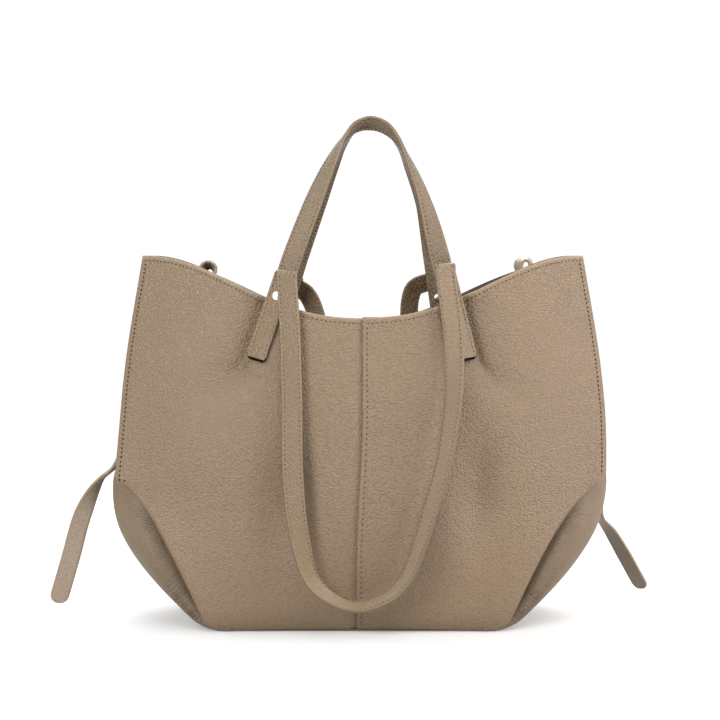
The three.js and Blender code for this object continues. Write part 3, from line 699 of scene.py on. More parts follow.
def panel_place(side, rise):
    start = -SEAM_LAP if side < 0 else 0

    def place(u, v):
        if side < 0:
            u = 1 - u
        turn = max(0, 1 - v / FOOT_SHARE) * math.pi / 2
        inner = min(u / (1 - ROLL_SHARE), 1)
        corner = side_edge(rim_height(inner, rise, side))
        share = max(0, lerp(start, corner - EDGE_ROLL, inner)) / corner
        top = rim_height(share, rise, side) + (lap_rise(share * corner) if side > 0 else 0)
        if turn > 0:
            z = HEM_HEIGHT + FOOT_ROLL_HEIGHT * (1 - math.sin(turn))
        else:
            z = lerp(HEM_HEIGHT + FOOT_ROLL_HEIGHT, top, (v - FOOT_SHARE) / (1 - FOOT_SHARE))
        folded = ease(FOLD_ONSET * below_seam_end(z))
        roll = lerp(EDGE_ROLL, FOLD_ROLL, folded)
        straight = side_edge(z) - roll
        if u < 1 - ROLL_SHARE:
            x = lerp(start, straight, u / (1 - ROLL_SHARE))
            back = 0
        else:
            angle = math.radians(lerp(EDGE_ROLL_ANGLE, FOLD_ROLL_ANGLE, folded))
            bend = (u - 1 + ROLL_SHARE) / ROLL_SHARE * angle
            x = straight + roll * math.sin(bend)
            back = roll * (1 - math.cos(bend))
        point = panel_skin(side, x, z)
        point.y += back + FOOT_ROLL * (1 - math.cos(turn))
        return settle(point)

    return place


def mark_painted(bm, side, rise):
    """Marks the smooth band along the rim."""
    layer = bm.verts.layers.float.new("painted")
    for vert in bm.verts:
        x, z = vert.co.x / MM, vert.co.z / MM
        below_rim = rim_height(clamp(abs(x) / side_edge(z)), rise, side) - z
        if side > 0:
            below_rim += lap_rise(max(x, 0))
        band = 1 - ease((below_rim - RIM_BAND) / RIM_BAND)
        vert[layer] = RIM_BAND_SHARE * band


def body_panel(name, side, rise, mirror_back):
    bm = mapped_grid(PANEL_COLUMNS, PANEL_ROWS, panel_place(side, rise), mirror_back)
    mark_painted(bm, side, rise)
    piece = finish_piece(bm, name, [panel_leather, cut_edge, suede], "bag", [name])
    give_thickness(piece, PANEL_THICKNESS, inner=2, rim=1, bevel=0.55)


# Gussets
GUSSET_COLUMNS = 60
GUSSET_ROWS = 360
LOW_ROWS = 0.8
LOW_HEIGHT = 145.0


def gusset_middle(z):
    if z <= BULGE_HEIGHT:
        round_share = 1 - (1 - max(z, 0) / BULGE_HEIGHT) ** 2
        return lerp(GUSSET_FOOT_HALF_LENGTH, BULGE_HALF_WIDTH, round_share ** BULGE_FULLNESS)
    up = clamp((z - BULGE_HEIGHT) / (VALLEY_HEIGHT - BULGE_HEIGHT))
    return lerp(BULGE_HALF_WIDTH, VALLEY_HALF_WIDTH, ease(up ** VALLEY_SWEEP))


def gusset_point(share, z):
    tuck = lerp(FOLD_TUCK, SEAM_TUCK, ease(1 + TUCK_EASE * above_seam_end(z)))
    seat = PANEL_THICKNESS / 2 + GUSSET_SEAT + GUSSET_THICKNESS / 2
    start = off_panel(side_edge(z) - tuck, z, -seat)
    spread = VALLEY_SPREAD * ease(above_seam_end(z))
    x = lerp(start.x, gusset_middle(z), math.sin(share * math.pi / 2))
    fullness = lerp(1, GUSSET_FULLNESS, ease(FULLNESS_ONSET * below_seam_end(z)))
    y = start.y * (1 - share ** fullness) - spread * math.sin(math.pi * share)
    return Vector((x, y, z))


def wrinkle(out, z):
    """Fine gathers square to the fold, strongest where the gusset comes out from under the panel."""
    low = ease(WRINKLE_ONSET * below_seam_end(z)) * ease(z / WRINKLE_FOOT_FADE)
    along = z + WRINKLE_SLANT * out
    wander = noise.noise(Vector((along / WANDER_LENGTH, out / WANDER_REACH, WANDER_SEED)))
    strength = 1 + UNEVEN * noise.noise(Vector((along / UNEVEN_LENGTH, UNEVEN_SEED, out / UNEVEN_REACH)))
    fade = 1 - ease((out - WRINKLE_REACH) / WRINKLE_FADE)
    wave = abs(math.sin(math.pi * along / WRINKLE_PITCH + WANDER * wander))
    return low * fade * strength, wave ** WRINKLE_ROUNDNESS


def gusset_share(u, v):
    share = 1 - abs(2 * u - 1)
    top = lerp(CORNER_HEIGHT, VALLEY_HEIGHT, ease(share))
    if v < LOW_ROWS:
        return share, lerp(HEM_HEIGHT, LOW_HEIGHT, v / LOW_ROWS)
    return share, lerp(LOW_HEIGHT, top, (v - LOW_ROWS) / (1 - LOW_ROWS))


def painted_crease_shade(u, v):
    """Marks the bottoms of the gathers with painted shade, as they lie in the dark."""
    share, z = gusset_share(u, v)
    strength, ridge = wrinkle(gusset_point(share, z).x - gusset_point(0, z).x, z)
    return clamp(WRINKLE_SHADE * strength * ease(1 - ridge / WRINKLE_LEVEL))


def groove_depth(share, z):
    """The groove that sets the gusset back where it comes out from under the fold."""
    below = below_seam_end(z)
    across = math.exp(-(max(0, share - GROOVE_AT) / GROOVE_SPAN) ** 2)
    onset = GROOVE_QUICK * ease(QUICK_ONSET * below)
    onset += (1 - GROOVE_QUICK) * ease(SLOW_ONSET * below - SLOW_DELAY)
    return GROOVE * (across * ease((z + GROOVE_FOOT) / GROOVE_FOOT_FADE) * onset)


def gusset_place(side):
    def place(u, v):
        across = (2 * u - 1) * side
        share, z = gusset_share(u, v)
        point = gusset_point(share, z)
        strength, ridge = wrinkle(point.x - gusset_point(0, z).x, z)
        gather = WRINKLE * strength * (ridge - WRINKLE_LEVEL)
        tuck = FOOT_TUCK * max(0, 1 - (z - HEM_HEIGHT) / FOOT_TUCK_HEIGHT) ** 2
        x = point.x + WRINKLE_OUT * gather - tuck
        y = point.y + groove_depth(share, z) - WRINKLE_FORWARD * gather
        return settle(Vector((side * x, y if across < 0 else -y, z)))

    return place


def gusset(name, side):
    # The bottoms of the gathers are marked with painted shade
    bm = mapped_grid(GUSSET_COLUMNS, GUSSET_ROWS, gusset_place(side), False, painted_crease_shade)
    piece = finish_piece(bm, name, [gusset_leather, cut_edge, suede], "bag", [name])
    give_thickness(piece, GUSSET_THICKNESS, inner=2, rim=1, even=False)


# Base and rim facings
BASE_GRID = (40, 24)
FACING_GRID = (160, 10)


def base_panel():
    def place(u, v):
        across = lerp(-1, 1, v)
        half_length = BASE_PANEL_HALF_LENGTH + BASE_PANEL_SWELL * (1 - across ** 2)
        x = lerp(-1, 1, u) * half_length - LEAN
        return Vector((x, across * BASE_PANEL_HALF_DEPTH, BASE_THICKNESS / 2 + BASE_LIFT))

    name = "base_panel"
    bm = mapped_grid(*BASE_GRID, place, False)
    piece = finish_piece(bm, name, [gusset_leather, cut_edge], "bag", [name])
    give_thickness(piece, BASE_THICKNESS, rim=1)


def base_board():
    bm = bmesh.new()
    bmesh.ops.create_grid(bm, x_segments=1, y_segments=1, size=0.5)
    size = Matrix.Diagonal((BOARD_LENGTH * MM, BOARD_DEPTH * MM, 1, 1))
    bmesh.ops.transform(bm, matrix=size, verts=bm.verts[:])
    bmesh.ops.bevel(bm, geom=bm.verts[:], offset=BOARD_CORNER * MM, segments=6, profile=0.5,
                    affect="VERTICES", material=-1)
    bmesh.ops.translate(bm, vec=Vector((-LEAN, 0, BOARD_HEIGHT)) * MM, verts=bm.verts[:])
    piece = finish_piece(bm, "base_board", [board_finish], "bag", ["base_board"], smooth=False)
    give_thickness(piece, BOARD_THICKNESS, bevel=0.4)


def rim_facing(name, rise, mirror_back):
    def place(u, v):
        across = lerp(-FACING_SPAN, FACING_SPAN, u)
        top = rim_height(abs(across), rise, across) - FACING_DROP
        z = lerp(top - FACING_DEPTH, top, v)
        x = across * side_edge(z)
        step = LAP_STEP * ease(1 - (abs(x - FACING_STEP_AT) - SEAM_LAP) / FACING_STEP_FADE)
        inset = PANEL_THICKNESS / 2 + CLEARANCE + FACING_THICKNESS / 2 + step
        return off_panel(x, z, -inset) + Vector((0, -relief(x, z), 0))

    bm = mapped_grid(*FACING_GRID, place, mirror_back)
    piece = finish_piece(bm, name, [suede, cut_edge], "bag", [name])
    give_thickness(piece, FACING_THICKNESS, rim=1, bevel=0.3)


# Straps: a rounded section carried along stations, each a centre with the ways across, out and along
THREAD_SLOT = 1
HOLE_SLOT = 2
DARK_SLOT = 3


def strap_station(at, across, travel, width=1.0, thick=1.0):
    face = across.cross(travel).normalized()
    turned = Matrix((across, face, travel)).transposed().to_4x4()
    return Matrix.Translation(at * MM) @ turned @ Matrix.Diagonal((width, thick, 1, 1))


def turned_station(at, travel, turn, width=1.0, thick=1.0):
    """A turn of 0 lays the strap flat to the front, 90 degrees stands it edge on."""
    side = travel.cross(FRONT).normalized()
    front = side.cross(travel).normalized()
    across = side * math.cos(turn) + front * math.sin(turn)
    return strap_station(at, across.normalized(), travel, width, thick)


def end_width(width, corner, distance):
    """Share of the width that is left at a distance from an end with round corners."""
    inside = clamp(1 - (distance + END_SLIVER) / corner)
    return (width - 2 * corner * (1 - math.sqrt(1 - inside * inside))) / width


def end_thickness(distance):
    """Share of the thickness that is left at a distance from a rounded end."""
    inside = clamp(1 - distance / NOSE)
    return max(NOSE_LEAST, math.sqrt(1 - inside * inside))


def smooth_route(points, steps_each=24):
    """A smooth curve through points, as close samples: each a place and how many points lie before it."""
    ends = [points[0] * 2 - points[1]] + points + [points[-1] * 2 - points[-2]]
    samples = []
    for k in range(len(points) - 1):
        a, b, c, d = ends[k:k + 4]
        tb = math.sqrt((b - a).length)
        tc = tb + math.sqrt((c - b).length)
        td = tc + math.sqrt((d - c).length)
        for step in range(steps_each):
            t = lerp(tb, tc, step / steps_each)
            ab = a.lerp(b, t / tb)
            bc = b.lerp(c, (t - tb) / (tc - tb))
            cd = c.lerp(d, (t - tc) / (td - tc))
            abc = ab.lerp(bc, t / tc)
            bcd = bc.lerp(cd, (t - tb) / (td - tb))
            samples.append((abc.lerp(bcd, (t - tb) / (tc - tb)), k + step / steps_each))
    samples.append((points[-1], len(points) - 1))
    return samples


def even_stations(points, turns, pitch, tip_corner=0.0, width=STRAP_WIDTH, tip_start=0.0):
    """Stations a stitch apart along a smooth route, narrowing to round tips where a corner is given."""
    samples = smooth_route(points)
    lengths = [0.0]
    for (before, _), (after, _) in zip(samples, samples[1:]):
        lengths.append(lengths[-1] + (after - before).length)
    total = lengths[-1]
    count = max(2, round(total / pitch))
    distances = [total * k / count for k in range(count + 1)]
    if tip_corner:
        distances = [d for d in distances if d < total - tip_corner]
        distances += [total - tip_corner * (k / CORNER_STEPS) ** 2 for k in range(CORNER_STEPS, -1, -1)]
    if tip_start:
        distances = [d for d in distances if d > tip_start]
        distances = [tip_start * (k / CORNER_STEPS) ** 2 for k in range(CORNER_STEPS + 1)] + distances
    stations = []
    k = 0
    for distance in distances:
        while k < len(lengths) - 2 and lengths[k + 1] < distance:
            k += 1
        share = (distance - lengths[k]) / max(lengths[k + 1] - lengths[k], 1e-9)
        at = samples[k][0].lerp(samples[k + 1][0], share)
        before = samples[max(k - 2, 0)][0]
        after = samples[min(k + 3, len(samples) - 1)][0]
        place = lerp(samples[k][1], samples[k + 1][1], share)
        low = min(int(place), len(turns) - 2)
        turn = math.radians(lerp(turns[low], turns[low + 1], place - low))
        narrow, thick = 1.0, 1.0
        if tip_corner:
            narrow = min(narrow, end_width(width, tip_corner, total - distance))
            thick = min(thick, end_thickness(total - distance))
        if tip_start:
            narrow = min(narrow, end_width(width, tip_start, distance))
            thick = min(thick, end_thickness(distance))
        stations.append(turned_station(at, (after - before).normalized(), turn, narrow, thick))
    return stations


def strap_body(stations, width, thickness):
    """The rounded, slightly crowned section of a doubled strap, extruded from station to station."""
    bm = bmesh.new()
    painted = bm.verts.layers.float.new("painted")
    shaded_underside = bm.verts.layers.float.new("shaded_underside")
    bmesh.ops.create_grid(bm, x_segments=1, y_segments=1, size=0.5)
    bmesh.ops.transform(bm, matrix=Matrix.Diagonal((width * MM, thickness * MM, 1, 1)), verts=bm.verts[:])
    bmesh.ops.bevel(bm, geom=bm.verts[:], offset=SECTION_ROUND * thickness * MM, segments=3, profile=0.5,
                    affect="VERTICES", material=-1)
    long_edges = [e for e in bm.edges if e.calc_length() > 0.5 * width * MM]
    bmesh.ops.subdivide_edges(bm, edges=long_edges, cuts=SECTION_CUTS)
    for vert in bm.verts:
        out = abs(vert.co.x) / (width * MM / 2)
        vert[painted] = ease((out - PAINT_START) / PAINT_EASE)
        # The underside is marked for painted shade
        vert[shaded_underside] = float(vert.co.y < 0 and out < SHADED_UNDERSIDE_SPAN)
        if out < PAINT_START:
            vert.co.y += math.copysign(CROWN * MM * (1 - (out / CROWN_SPAN) ** 2), vert.co.y)
    ring = bm.edges[:]
    bmesh.ops.transform(bm, matrix=stations[0], verts=bm.verts[:])
    for before, after in zip(stations, stations[1:]):
        grown = bmesh.ops.extrude_edge_only(bm, edges=ring)["geom"]
        moved = [item for item in grown if isinstance(item, bmesh.types.BMVert)]
        fresh = set(moved)
        ring = [e for e in grown if isinstance(e, bmesh.types.BMEdge) and set(e.verts) <= fresh]
        bmesh.ops.transform(bm, matrix=after @ before.inverted(), verts=moved)
    bmesh.ops.edgeloop_fill(bm, edges=ring)
    bmesh.ops.recalc_face_normals(bm, faces=bm.faces[:])
    return bm


def add_stitches(bm, places, thread_slot, hole_slot, pitch, hole=1.0):
    """Threads with needle holes between them, drawn as dark marks of painted shade; each place is a centre,
    the way along and the way out.
    """
    for first in range(0, len(places), STITCH_BATCH):
        batch = bmesh.new()
        for at, along, out in places[first:first + STITCH_BATCH]:
            across = out.cross(along).normalized()
            turned = Matrix((along, across, out)).transposed().to_4x4()
            thread_high = THREAD_THICKNESS * THREAD_FLATNESS
            shapes = (
                (Vector((0, 0, 0)), THREAD_LENGTH, THREAD_THICKNESS, thread_high, thread_slot),
                (along * pitch / 2, HOLE_LENGTH * hole, HOLE_WIDTH * hole, HOLE_HEIGHT * hole, hole_slot),
            )
            for shift, length, wide, high, slot in shapes:
                scale = Matrix.Diagonal((length * MM / 2, wide * MM / 2, high * MM / 2, 1))
                matrix = Matrix.Translation((at + shift) * MM) @ turned @ scale
                made = bmesh.ops.create_icosphere(batch, subdivisions=1, radius=1, matrix=matrix)
                for face in {face for vert in made["verts"] for face in vert.link_faces}:
                    face.material_index = slot
        joined = bpy.data.meshes.new("stitches")
        batch.to_mesh(joined)
        batch.free()
        bm.from_mesh(joined)
        bpy.data.meshes.remove(joined)


def stitch_strap(bm, stations):
    """Stitches on both faces of a strap, one for each station, near both its edges."""
    rows = []
    for side in (-1, 1):
        for face in (-1, 1):
            for station in stations[1:-1]:
                narrow = station.col[0].to_3d().length
                across = station.col[0].to_3d().normalized()
                out = station.col[1].to_3d().normalized() * face
                along = station.col[2].to_3d().normalized()
                at = station.translation / MM + across * side * (STRAP_WIDTH / 2 * narrow - STRAP_ROW)
                rows.append((at + out * (STRAP_THICKNESS / 2 + THREAD_SEAT), along, out))
    add_stitches(bm, rows, THREAD_SLOT, HOLE_SLOT, STITCH_PITCH, STRAP_HOLE)


def mirrored_stations(stations):
    flip = Matrix.Diagonal((1, -1, 1, 1))
    keep = Matrix.Diagonal((-1, 1, 1, 1))
    return [flip @ station @ keep for station in stations]


# Strap tabs with the fold over their tops


def tab_line(side, z, rise):
    share = (z - rise - TAB_FOOT_HEIGHT) / (TAB_TOP_HEIGHT - TAB_FOOT_HEIGHT)
    x = side * lerp(TAB_FOOT_HALF_SPREAD, TAB_TOP_HALF_SPREAD, share)
    return x + lerp(*TAB_SHIFT[(side, rise > 0)], share), TAB_LEAN * share


def on_tab_line(side, z, rise, offset):
    x, sideways = tab_line(side, z, rise)
    return off_panel(x, z, offset) + Vector((sideways, 0, 0))


def tab_frame(side, z, rise):
    up = (on_tab_line(side, z + 1, rise, 0) - on_tab_line(side, z - 1, rise, 0)).normalized()
    face = panel_face(tab_line(side, z, rise)[0], z)
    face = (face - up * face.dot(up)).normalized()
    return up, face, up.cross(face).normalized()


def fold_stations(side, rise, first, last):
    """Part of the half turn over a tab's top, between two shares of it."""
    top = TAB_TOP_HEIGHT + rise + side * TAB_SKEW
    _, face, across = tab_frame(side, top, rise)
    level = Vector((math.copysign(1, across.x), 0, 0))
    centre = on_tab_line(side, top, rise, TAB_OFFSET) + face * FOLD_RADIUS
    stations = []
    for k in range(FOLD_STEPS + 1):
        share = lerp(first, last, k / FOLD_STEPS)
        angle = math.pi * share
        wide = across.lerp(level, share).normalized()
        upward = face.cross(wide).normalized()
        out = wide.cross(upward) * math.cos(angle) - upward * math.sin(angle)
        travel = out.cross(wide).normalized()
        drift = Vector((FOLD_DRIFT[(side, rise > 0)] * ease(share), 0, 0))
        stations.append((centre + drift - out * FOLD_RADIUS, wide, travel))
    return stations


def tab_stations(side, rise):
    foot = TAB_FOOT_HEIGHT + rise
    top = TAB_TOP_HEIGHT + rise + side * TAB_SKEW
    heights = [foot + TAB_CORNER * (k / CORNER_STEPS) ** 2 for k in range(CORNER_STEPS)]
    count = round((top - foot - TAB_CORNER) / STITCH_PITCH)
    heights += [lerp(foot + TAB_CORNER, top, k / count) for k in range(count)]
    stations = []
    for z in heights:
        up, _, across = tab_frame(side, z, rise)
        narrow = end_width(STRAP_WIDTH, TAB_CORNER, z - foot)
        thick = end_thickness(z - foot)
        stations.append(strap_station(on_tab_line(side, z, rise, TAB_OFFSET), across, up, narrow, thick))
    fold = [strap_station(*station) for station in fold_stations(side, rise, 0, 0.5)]
    return stations + fold


def strap_tab(name, side, rise, mirror_back):
    stations = tab_stations(side, rise)
    if mirror_back:
        stations = mirrored_stations(stations)
    bm = strap_body(stations, STRAP_WIDTH, STRAP_THICKNESS)
    stitch_strap(bm, stations[CORNER_STEPS - 1:-FOLD_STEPS])
    foot = stations[0].translation
    along = stations[0].col[2].to_3d().normalized()
    across = stations[0].col[0].to_3d().normalized()
    # The foot's end and its rounded corners take the dark finish: edge paint and painted shadow
    for face in bm.faces:
        at_side = abs(face.normal.dot(across)) > SIDE_FACING
        from_foot = (face.calc_center_median() - foot).dot(along) / MM
        if face.material_index == 0 and from_foot < (DARK_SIDE if at_side else DARK_END):
            face.material_index = DARK_SLOT
    finish_piece(bm, name, [strap_leather, thread, needle_hole, edge_paint_and_shadow], "bag", [name])


# Shoulder straps: share of the tabs' spread, share of the drop, turn of the strap
FRONT_STRAP_SHAPE = (
    (-0.952, 0.18, 0), (-0.917, 0.39, 2), (-0.895, 0.62, 8), (-0.81, 0.8, 25), (-0.62, 0.935, 55),
    (-0.145, 1, 78), (0.297, 0.965, 70), (0.517, 0.9, 62), (0.655, 0.81, 55), (0.793, 0.7, 52),
    (0.94, 0.58, 50), (1.07, 0.385, 40), (1.08, 0.2, 16),
)
BACK_STRAP_SHAPE = (
    (-0.83, 0.05, 0), (-0.69, 0.13, 0), (-0.66, 0.3, 0), (-0.67, 0.55, 8), (-0.64, 0.78, 30),
    (-0.5, 0.93, 60), (0, 1, 80), (0.48, 0.93, 60), (0.6, 0.78, 30), (0.6, 0.55, 8),
    (0.63, 0.3, 0), (0.64, 0.16, 0), (0.655, 0.085, 0), (0.72, 0.045, 0),
)


def strap_start(side, rise):
    return fold_stations(side, rise, 0, 1)[-1][0]


def hanging_stations(shape, rise):
    left, right = strap_start(-1, rise), strap_start(1, rise)
    middle, half = (left.x + right.x) / 2, (right.x - left.x) / 2
    near_tab = TAB_OFFSET + 2 * FOLD_RADIUS
    near_belly = PANEL_THICKNESS / 2 + STRAP_STANDOFF + STRAP_THICKNESS / 2
    top = (left.z + right.z) / 2
    foot_drop = top - TAB_FOOT_HEIGHT - rise
    down = Vector((0, 0, -STRAIGHT_LENGTH))
    points, turns = [left, left + down], [0, 0]
    for spread, drop, turn in shape:
        x = middle + half * spread
        z = lerp(lerp(left.z, right.z, clamp((spread + 1) / 2)), STRAP_BOTTOM, drop)
        below_tab = ease((top - z - foot_drop) / (top / 2 - foot_drop))
        edge = math.sin(math.radians(turn)) * STRAP_WIDTH / 2
        points.append(Vector((x, -panel_depth(x, z) - lerp(near_tab, near_belly, below_tab) - edge, z)))
        turns.append(turn)
    points += [right + down, right]
    turns += [0, 0]
    return even_stations(points, turns, STITCH_PITCH)


def shoulder_strap(name, shape, rise, mirror_back):
    start = [strap_station(at, -wide, travel) for at, wide, travel in fold_stations(-1, rise, FOLD_SPLIT, 1)]
    end = [strap_station(at, wide, -travel) for at, wide, travel in fold_stations(1, rise, 1, FOLD_SPLIT)]
    stations = start[:-1] + hanging_stations(shape, rise) + end[1:]
    if mirror_back:
        stations = mirrored_stations(stations)
    bm = strap_body(stations, STRAP_WIDTH, STRAP_THICKNESS)
    stitch_strap(bm, stations[FOLD_STEPS - 1:1 - FOLD_STEPS])
    piece = finish_piece(bm, name, [strap_leather, thread, needle_hole], None, [name])
    sign = 1 if mirror_back else -1
    fold_y = strap_start(-1, rise).y * -sign
    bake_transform(piece)


# Handles: share of the spread between the ends, share of the rise, turn of the strap
HANDLE_SHAPE = (
    (-0.69, 0.42, 24), (-0.47, 0.71, 55), (-0.305, 0.88, 81), (-0.135, 0.972, 104), (0.07, 1, 116),
    (0.27, 0.968, 109), (0.45, 0.865, 92), (0.6, 0.7, 72), (0.79, 0.42, 50),
)
BACK_HANDLE_SHAPE = HANDLE_SHAPE[:6] + ((0.475, 0.865, 92), (0.63, 0.7, 72), (0.835, 0.42, 50))


def handle_stations(rise):
    def root(side, z):
        return on_tab_line(side, z + rise, rise, -HANDLE_END_OFFSET)

    halfway = (HANDLE_END_HEIGHT + FLEX_HEIGHT) / 2
    low = (HANDLE_END_HEIGHT, halfway, FLEX_HEIGHT, FLEX_HEIGHT + STRAIGHT_LENGTH)
    left = [root(-1, z) for z in low]
    right = [root(1, z) for z in reversed(low)]
    middle, half = (left[2].x + right[1].x) / 2, (right[1].x - left[2].x) / 2
    apex = -(STRAP_WIDTH + HANDLE_APART) / 2
    points, turns = list(left), [0] * len(low)
    for spread, up, turn in BACK_HANDLE_SHAPE if rise > 0 else HANDLE_SHAPE:
        y = lerp(left[3].y, apex, up)
        z = lerp(left[3].z, HANDLE_TOP, up)
        points.append(Vector((middle + half * spread, y, z)))
        turns.append(turn)
    points += right
    turns += [0] * len(low)
    return even_stations(points, turns, STITCH_PITCH, TAB_CORNER, STRAP_WIDTH, TAB_CORNER)


def carry_handle(name, face, rise, mirror_back):
    stations = handle_stations(rise)
    if mirror_back:
        stations = mirrored_stations(stations)
    bm = strap_body(stations, STRAP_WIDTH, STRAP_THICKNESS)
    stitch_strap(bm, stations[CORNER_STEPS + 1:-CORNER_STEPS - 1])
    nodes = [name, f"{face}_left_handle_end", f"{face}_right_handle_end"]
    piece = finish_piece(bm, name, [handle_leather, thread, needle_hole], None, nodes)
    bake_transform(piece)


# Rivets


def rivet(name, side, rise, mirror_back, outer):
    """The outer cap with a stub, or the inner cap with the post that goes through to the outer one."""
    share = (RIM_HEIGHT - TAB_FOOT_HEIGHT) / (TAB_TOP_HEIGHT - TAB_FOOT_HEIGHT)
    crossing = lerp(TAB_FOOT_HALF_SPREAD, TAB_TOP_HALF_SPREAD, share) + TAB_LEAN * share
    rim = rim_height(crossing / side_edge(RIM_HEIGHT), rise, 0)
    z = rim + (BACK_RIVET_RISE if mirror_back else RIVET_RISE)
    face = tab_frame(side, z, rise)[1]
    seat = (TAB_OFFSET if outer else HANDLE_END_OFFSET) + STRAP_THICKNESS / 2
    out = face if outer else -face
    at = on_tab_line(side, z, rise, 0) + out * (seat + RIVET_SEAT)
    bm = bmesh.new()
    verts = []
    for wide, high in RIVET_PROFILE:
        verts.append(bm.verts.new((wide * RIVET_RADIUS * MM, 0, high * RIVET_HEIGHT * MM)))
    edges = [bm.edges.new(pair) for pair in zip(verts, verts[1:])]
    stem = bmesh.ops.extrude_vert_indiv(bm, verts=verts[-1:])
    length = RIVET_STUB if outer else TAB_OFFSET + HANDLE_END_OFFSET + STRAP_THICKNESS
    bmesh.ops.translate(bm, verts=stem["verts"], vec=Vector((0, 0, -length * MM)))
    axis = bmesh.ops.extrude_vert_indiv(bm, verts=stem["verts"])
    for vert in axis["verts"]:
        vert.co.x = 0
    edges += stem["edges"] + axis["edges"]
    bmesh.ops.spin(bm, geom=verts + stem["verts"] + axis["verts"] + edges, cent=(0, 0, 0), axis=(0, 0, 1),
                   angle=math.tau, steps=RIVET_STEPS, use_merge=True)
    bmesh.ops.remove_doubles(bm, verts=bm.verts[:], dist=1e-6)
    turned = out.to_track_quat("Z", "Y").to_matrix().to_4x4()
    bmesh.ops.transform(bm, matrix=Matrix.Translation(at * MM) @ turned, verts=bm.verts[:])
    if mirror_back:
        bmesh.ops.transform(bm, matrix=Matrix.Diagonal((1, -1, 1, 1)), verts=bm.verts[:])
    bmesh.ops.recalc_face_normals(bm, faces=bm.faces[:])
    finish_piece(bm, name, [chrome], "bag", [name])


# Side ties


def tie_stations(side, tie):
    """Up inside the gusset, over its top edge, down outside it to the shoulder, and out to the free end."""
    seat = GUSSET_THICKNESS / 2 + CLEARANCE + TIE_THICKNESS / 2
    low = TIE_LOOP_HEIGHT - TIE_ANCHOR_LENGTH
    out, up = tie["shift"]
    points, turns = [], []

    def turn_at(progress):
        return lerp(TIE_EDGE_ON, tie["turn"], ease((progress - tie["twist"]) / TIE_TWIST_SPAN))

    for share in ANCHOR_SHARES:
        z = low + TIE_ANCHOR_LENGTH * share
        points.append(Vector((side * (gusset_middle(z) - seat + out * share), 0, z)))
        turns.append(TIE_EDGE_ON)
    centre = gusset_middle(TIE_LOOP_HEIGHT)
    for k in range(LOOP_STEPS + 1):
        angle = math.pi * k / LOOP_STEPS
        x = centre + out - TIE_LOOP_RADIUS * math.cos(angle)
        points.append(Vector((side * x, 0, TIE_LOOP_HEIGHT + up + TIE_LOOP_RADIUS * math.sin(angle))))
        turns.append(LOOP_TURN)
    start = centre + TIE_LOOP_RADIUS
    for share in FALL_SHARES:
        z = lerp(TIE_LOOP_HEIGHT, BULGE_HEIGHT + tie["shoulder"], share)
        beside = gusset_middle(z) + lerp(tie["seat"], tie["off"], share ** TIE_OFF_LATE)
        x = max(start + out * (1 - share), beside)
        points.append(Vector((side * x, tie["back"] * TIE_BACK_SHARE * share ** TIE_BACK_LATE, z)))
        turns.append(turn_at(share))
    shoulder = points[-1]
    for share in END_SHARES:
        x = shoulder.x + side * tie["reach"] * share
        z = shoulder.z - tie["drop"] * share ** tie["fall"]
        points.append(Vector((x, lerp(shoulder.y, tie["back"], share), z)))
        turns.append(turn_at(1 + share))
    for point in points:
        point.x -= lean(point.z) * ease((point.z - LEAN_LOW) / TIE_LEAN_FADE)
    return even_stations(points, turns, TIE_STEP, (TIE_WIDTH - TIE_TIP_WIDTH) / 2, TIE_WIDTH)


def side_tie(hand, side, tie):
    stations = tie_stations(side, tie)
    bm = strap_body(stations, TIE_WIDTH, TIE_THICKNESS)
    name = f"{hand}_side_tie"
    piece = finish_piece(bm, name, [tie_leather], None, [name, f"{hand}_tie_loop"])
    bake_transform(piece)


# Rows of stitches on the body


def skin_normal(side, x, z):
    along = panel_skin(1, x + 1, z) - panel_skin(1, x - 1, z)
    up = panel_skin(1, x, z + 1) - panel_skin(1, x, z - 1)
    out = along.cross(up).normalized()
    return Vector((side * out.x, out.y, out.z))


def row_places(points, side, pitch):
    """Evenly spaced stitches along a line given as (x, z) on one panel."""
    places = []
    travelled, goal = 0.0, pitch / 2
    off = PANEL_THICKNESS / 2 + BODY_THREAD_SEAT
    skins = [panel_skin(side, x, z) + skin_normal(side, x, z) * off for x, z in points]
    for k in range(len(points) - 1):
        length = (skins[k + 1] - skins[k]).length
        while travelled + length > goal:
            at = skins[k].lerp(skins[k + 1], (goal - travelled) / length)
            out = skin_normal(side, *points[k])
            along = (skins[k + 1] - skins[k]).normalized()
            places.append((settle(at), along, out))
            goal += pitch
        travelled += length
    return places


def body_rows(side, rise):
    """Lines along the rim, the side seam and the centre seam, each with its pitch and its holes' size."""
    rim, edge, seam = [], [], []
    for k in range(ROW_STEPS + 1):
        share = k / ROW_STEPS
        across = lerp(RIM_ROW_START, RIM_ROW_END, share)
        z = rim_height(across, rise, side) - RIM_ROW
        rim.append((across * side_edge(z), z))
        z = lerp(CORNER_HEIGHT - RIM_ROW, SEAM_END_HEIGHT + SIDE_ROW_END[side], share)
        edge.append((side_edge(z) - SIDE_ROW, z))
        seam.append((SEAM_ROW, lerp(rim_height(0, rise, side) - RIM_ROW, SEAM_ROW_FOOT, share)))
    rows = [(rim, STITCH_PITCH, 1), (edge, STITCH_PITCH, SIDE_HOLE)]
    if side > 0:
        rows.append((seam, SEAM_PITCH, 1))
    return rows


def body_stitches(name, rise, mirror_back):
    bm = bmesh.new()
    for side in (-1, 1):
        for points, pitch, hole in body_rows(side, rise):
            places = row_places(points, side, pitch)
            if mirror_back:
                flip = Matrix.Diagonal((1, -1, 1))
                places = [(flip @ at, flip @ along, flip @ out) for at, along, out in places]
            add_stitches(bm, places, 0, 1, pitch, hole)
    bmesh.ops.recalc_face_normals(bm, faces=bm.faces[:])
    finish_piece(bm, name, [thread, needle_hole], "bag")


# Assembly
HANDS = (("left", -1), ("right", 1))
FACES = (("front", 0.0, False, FRONT_STRAP_SHAPE), ("back", BACK_RIM_RISE, True, BACK_STRAP_SHAPE))

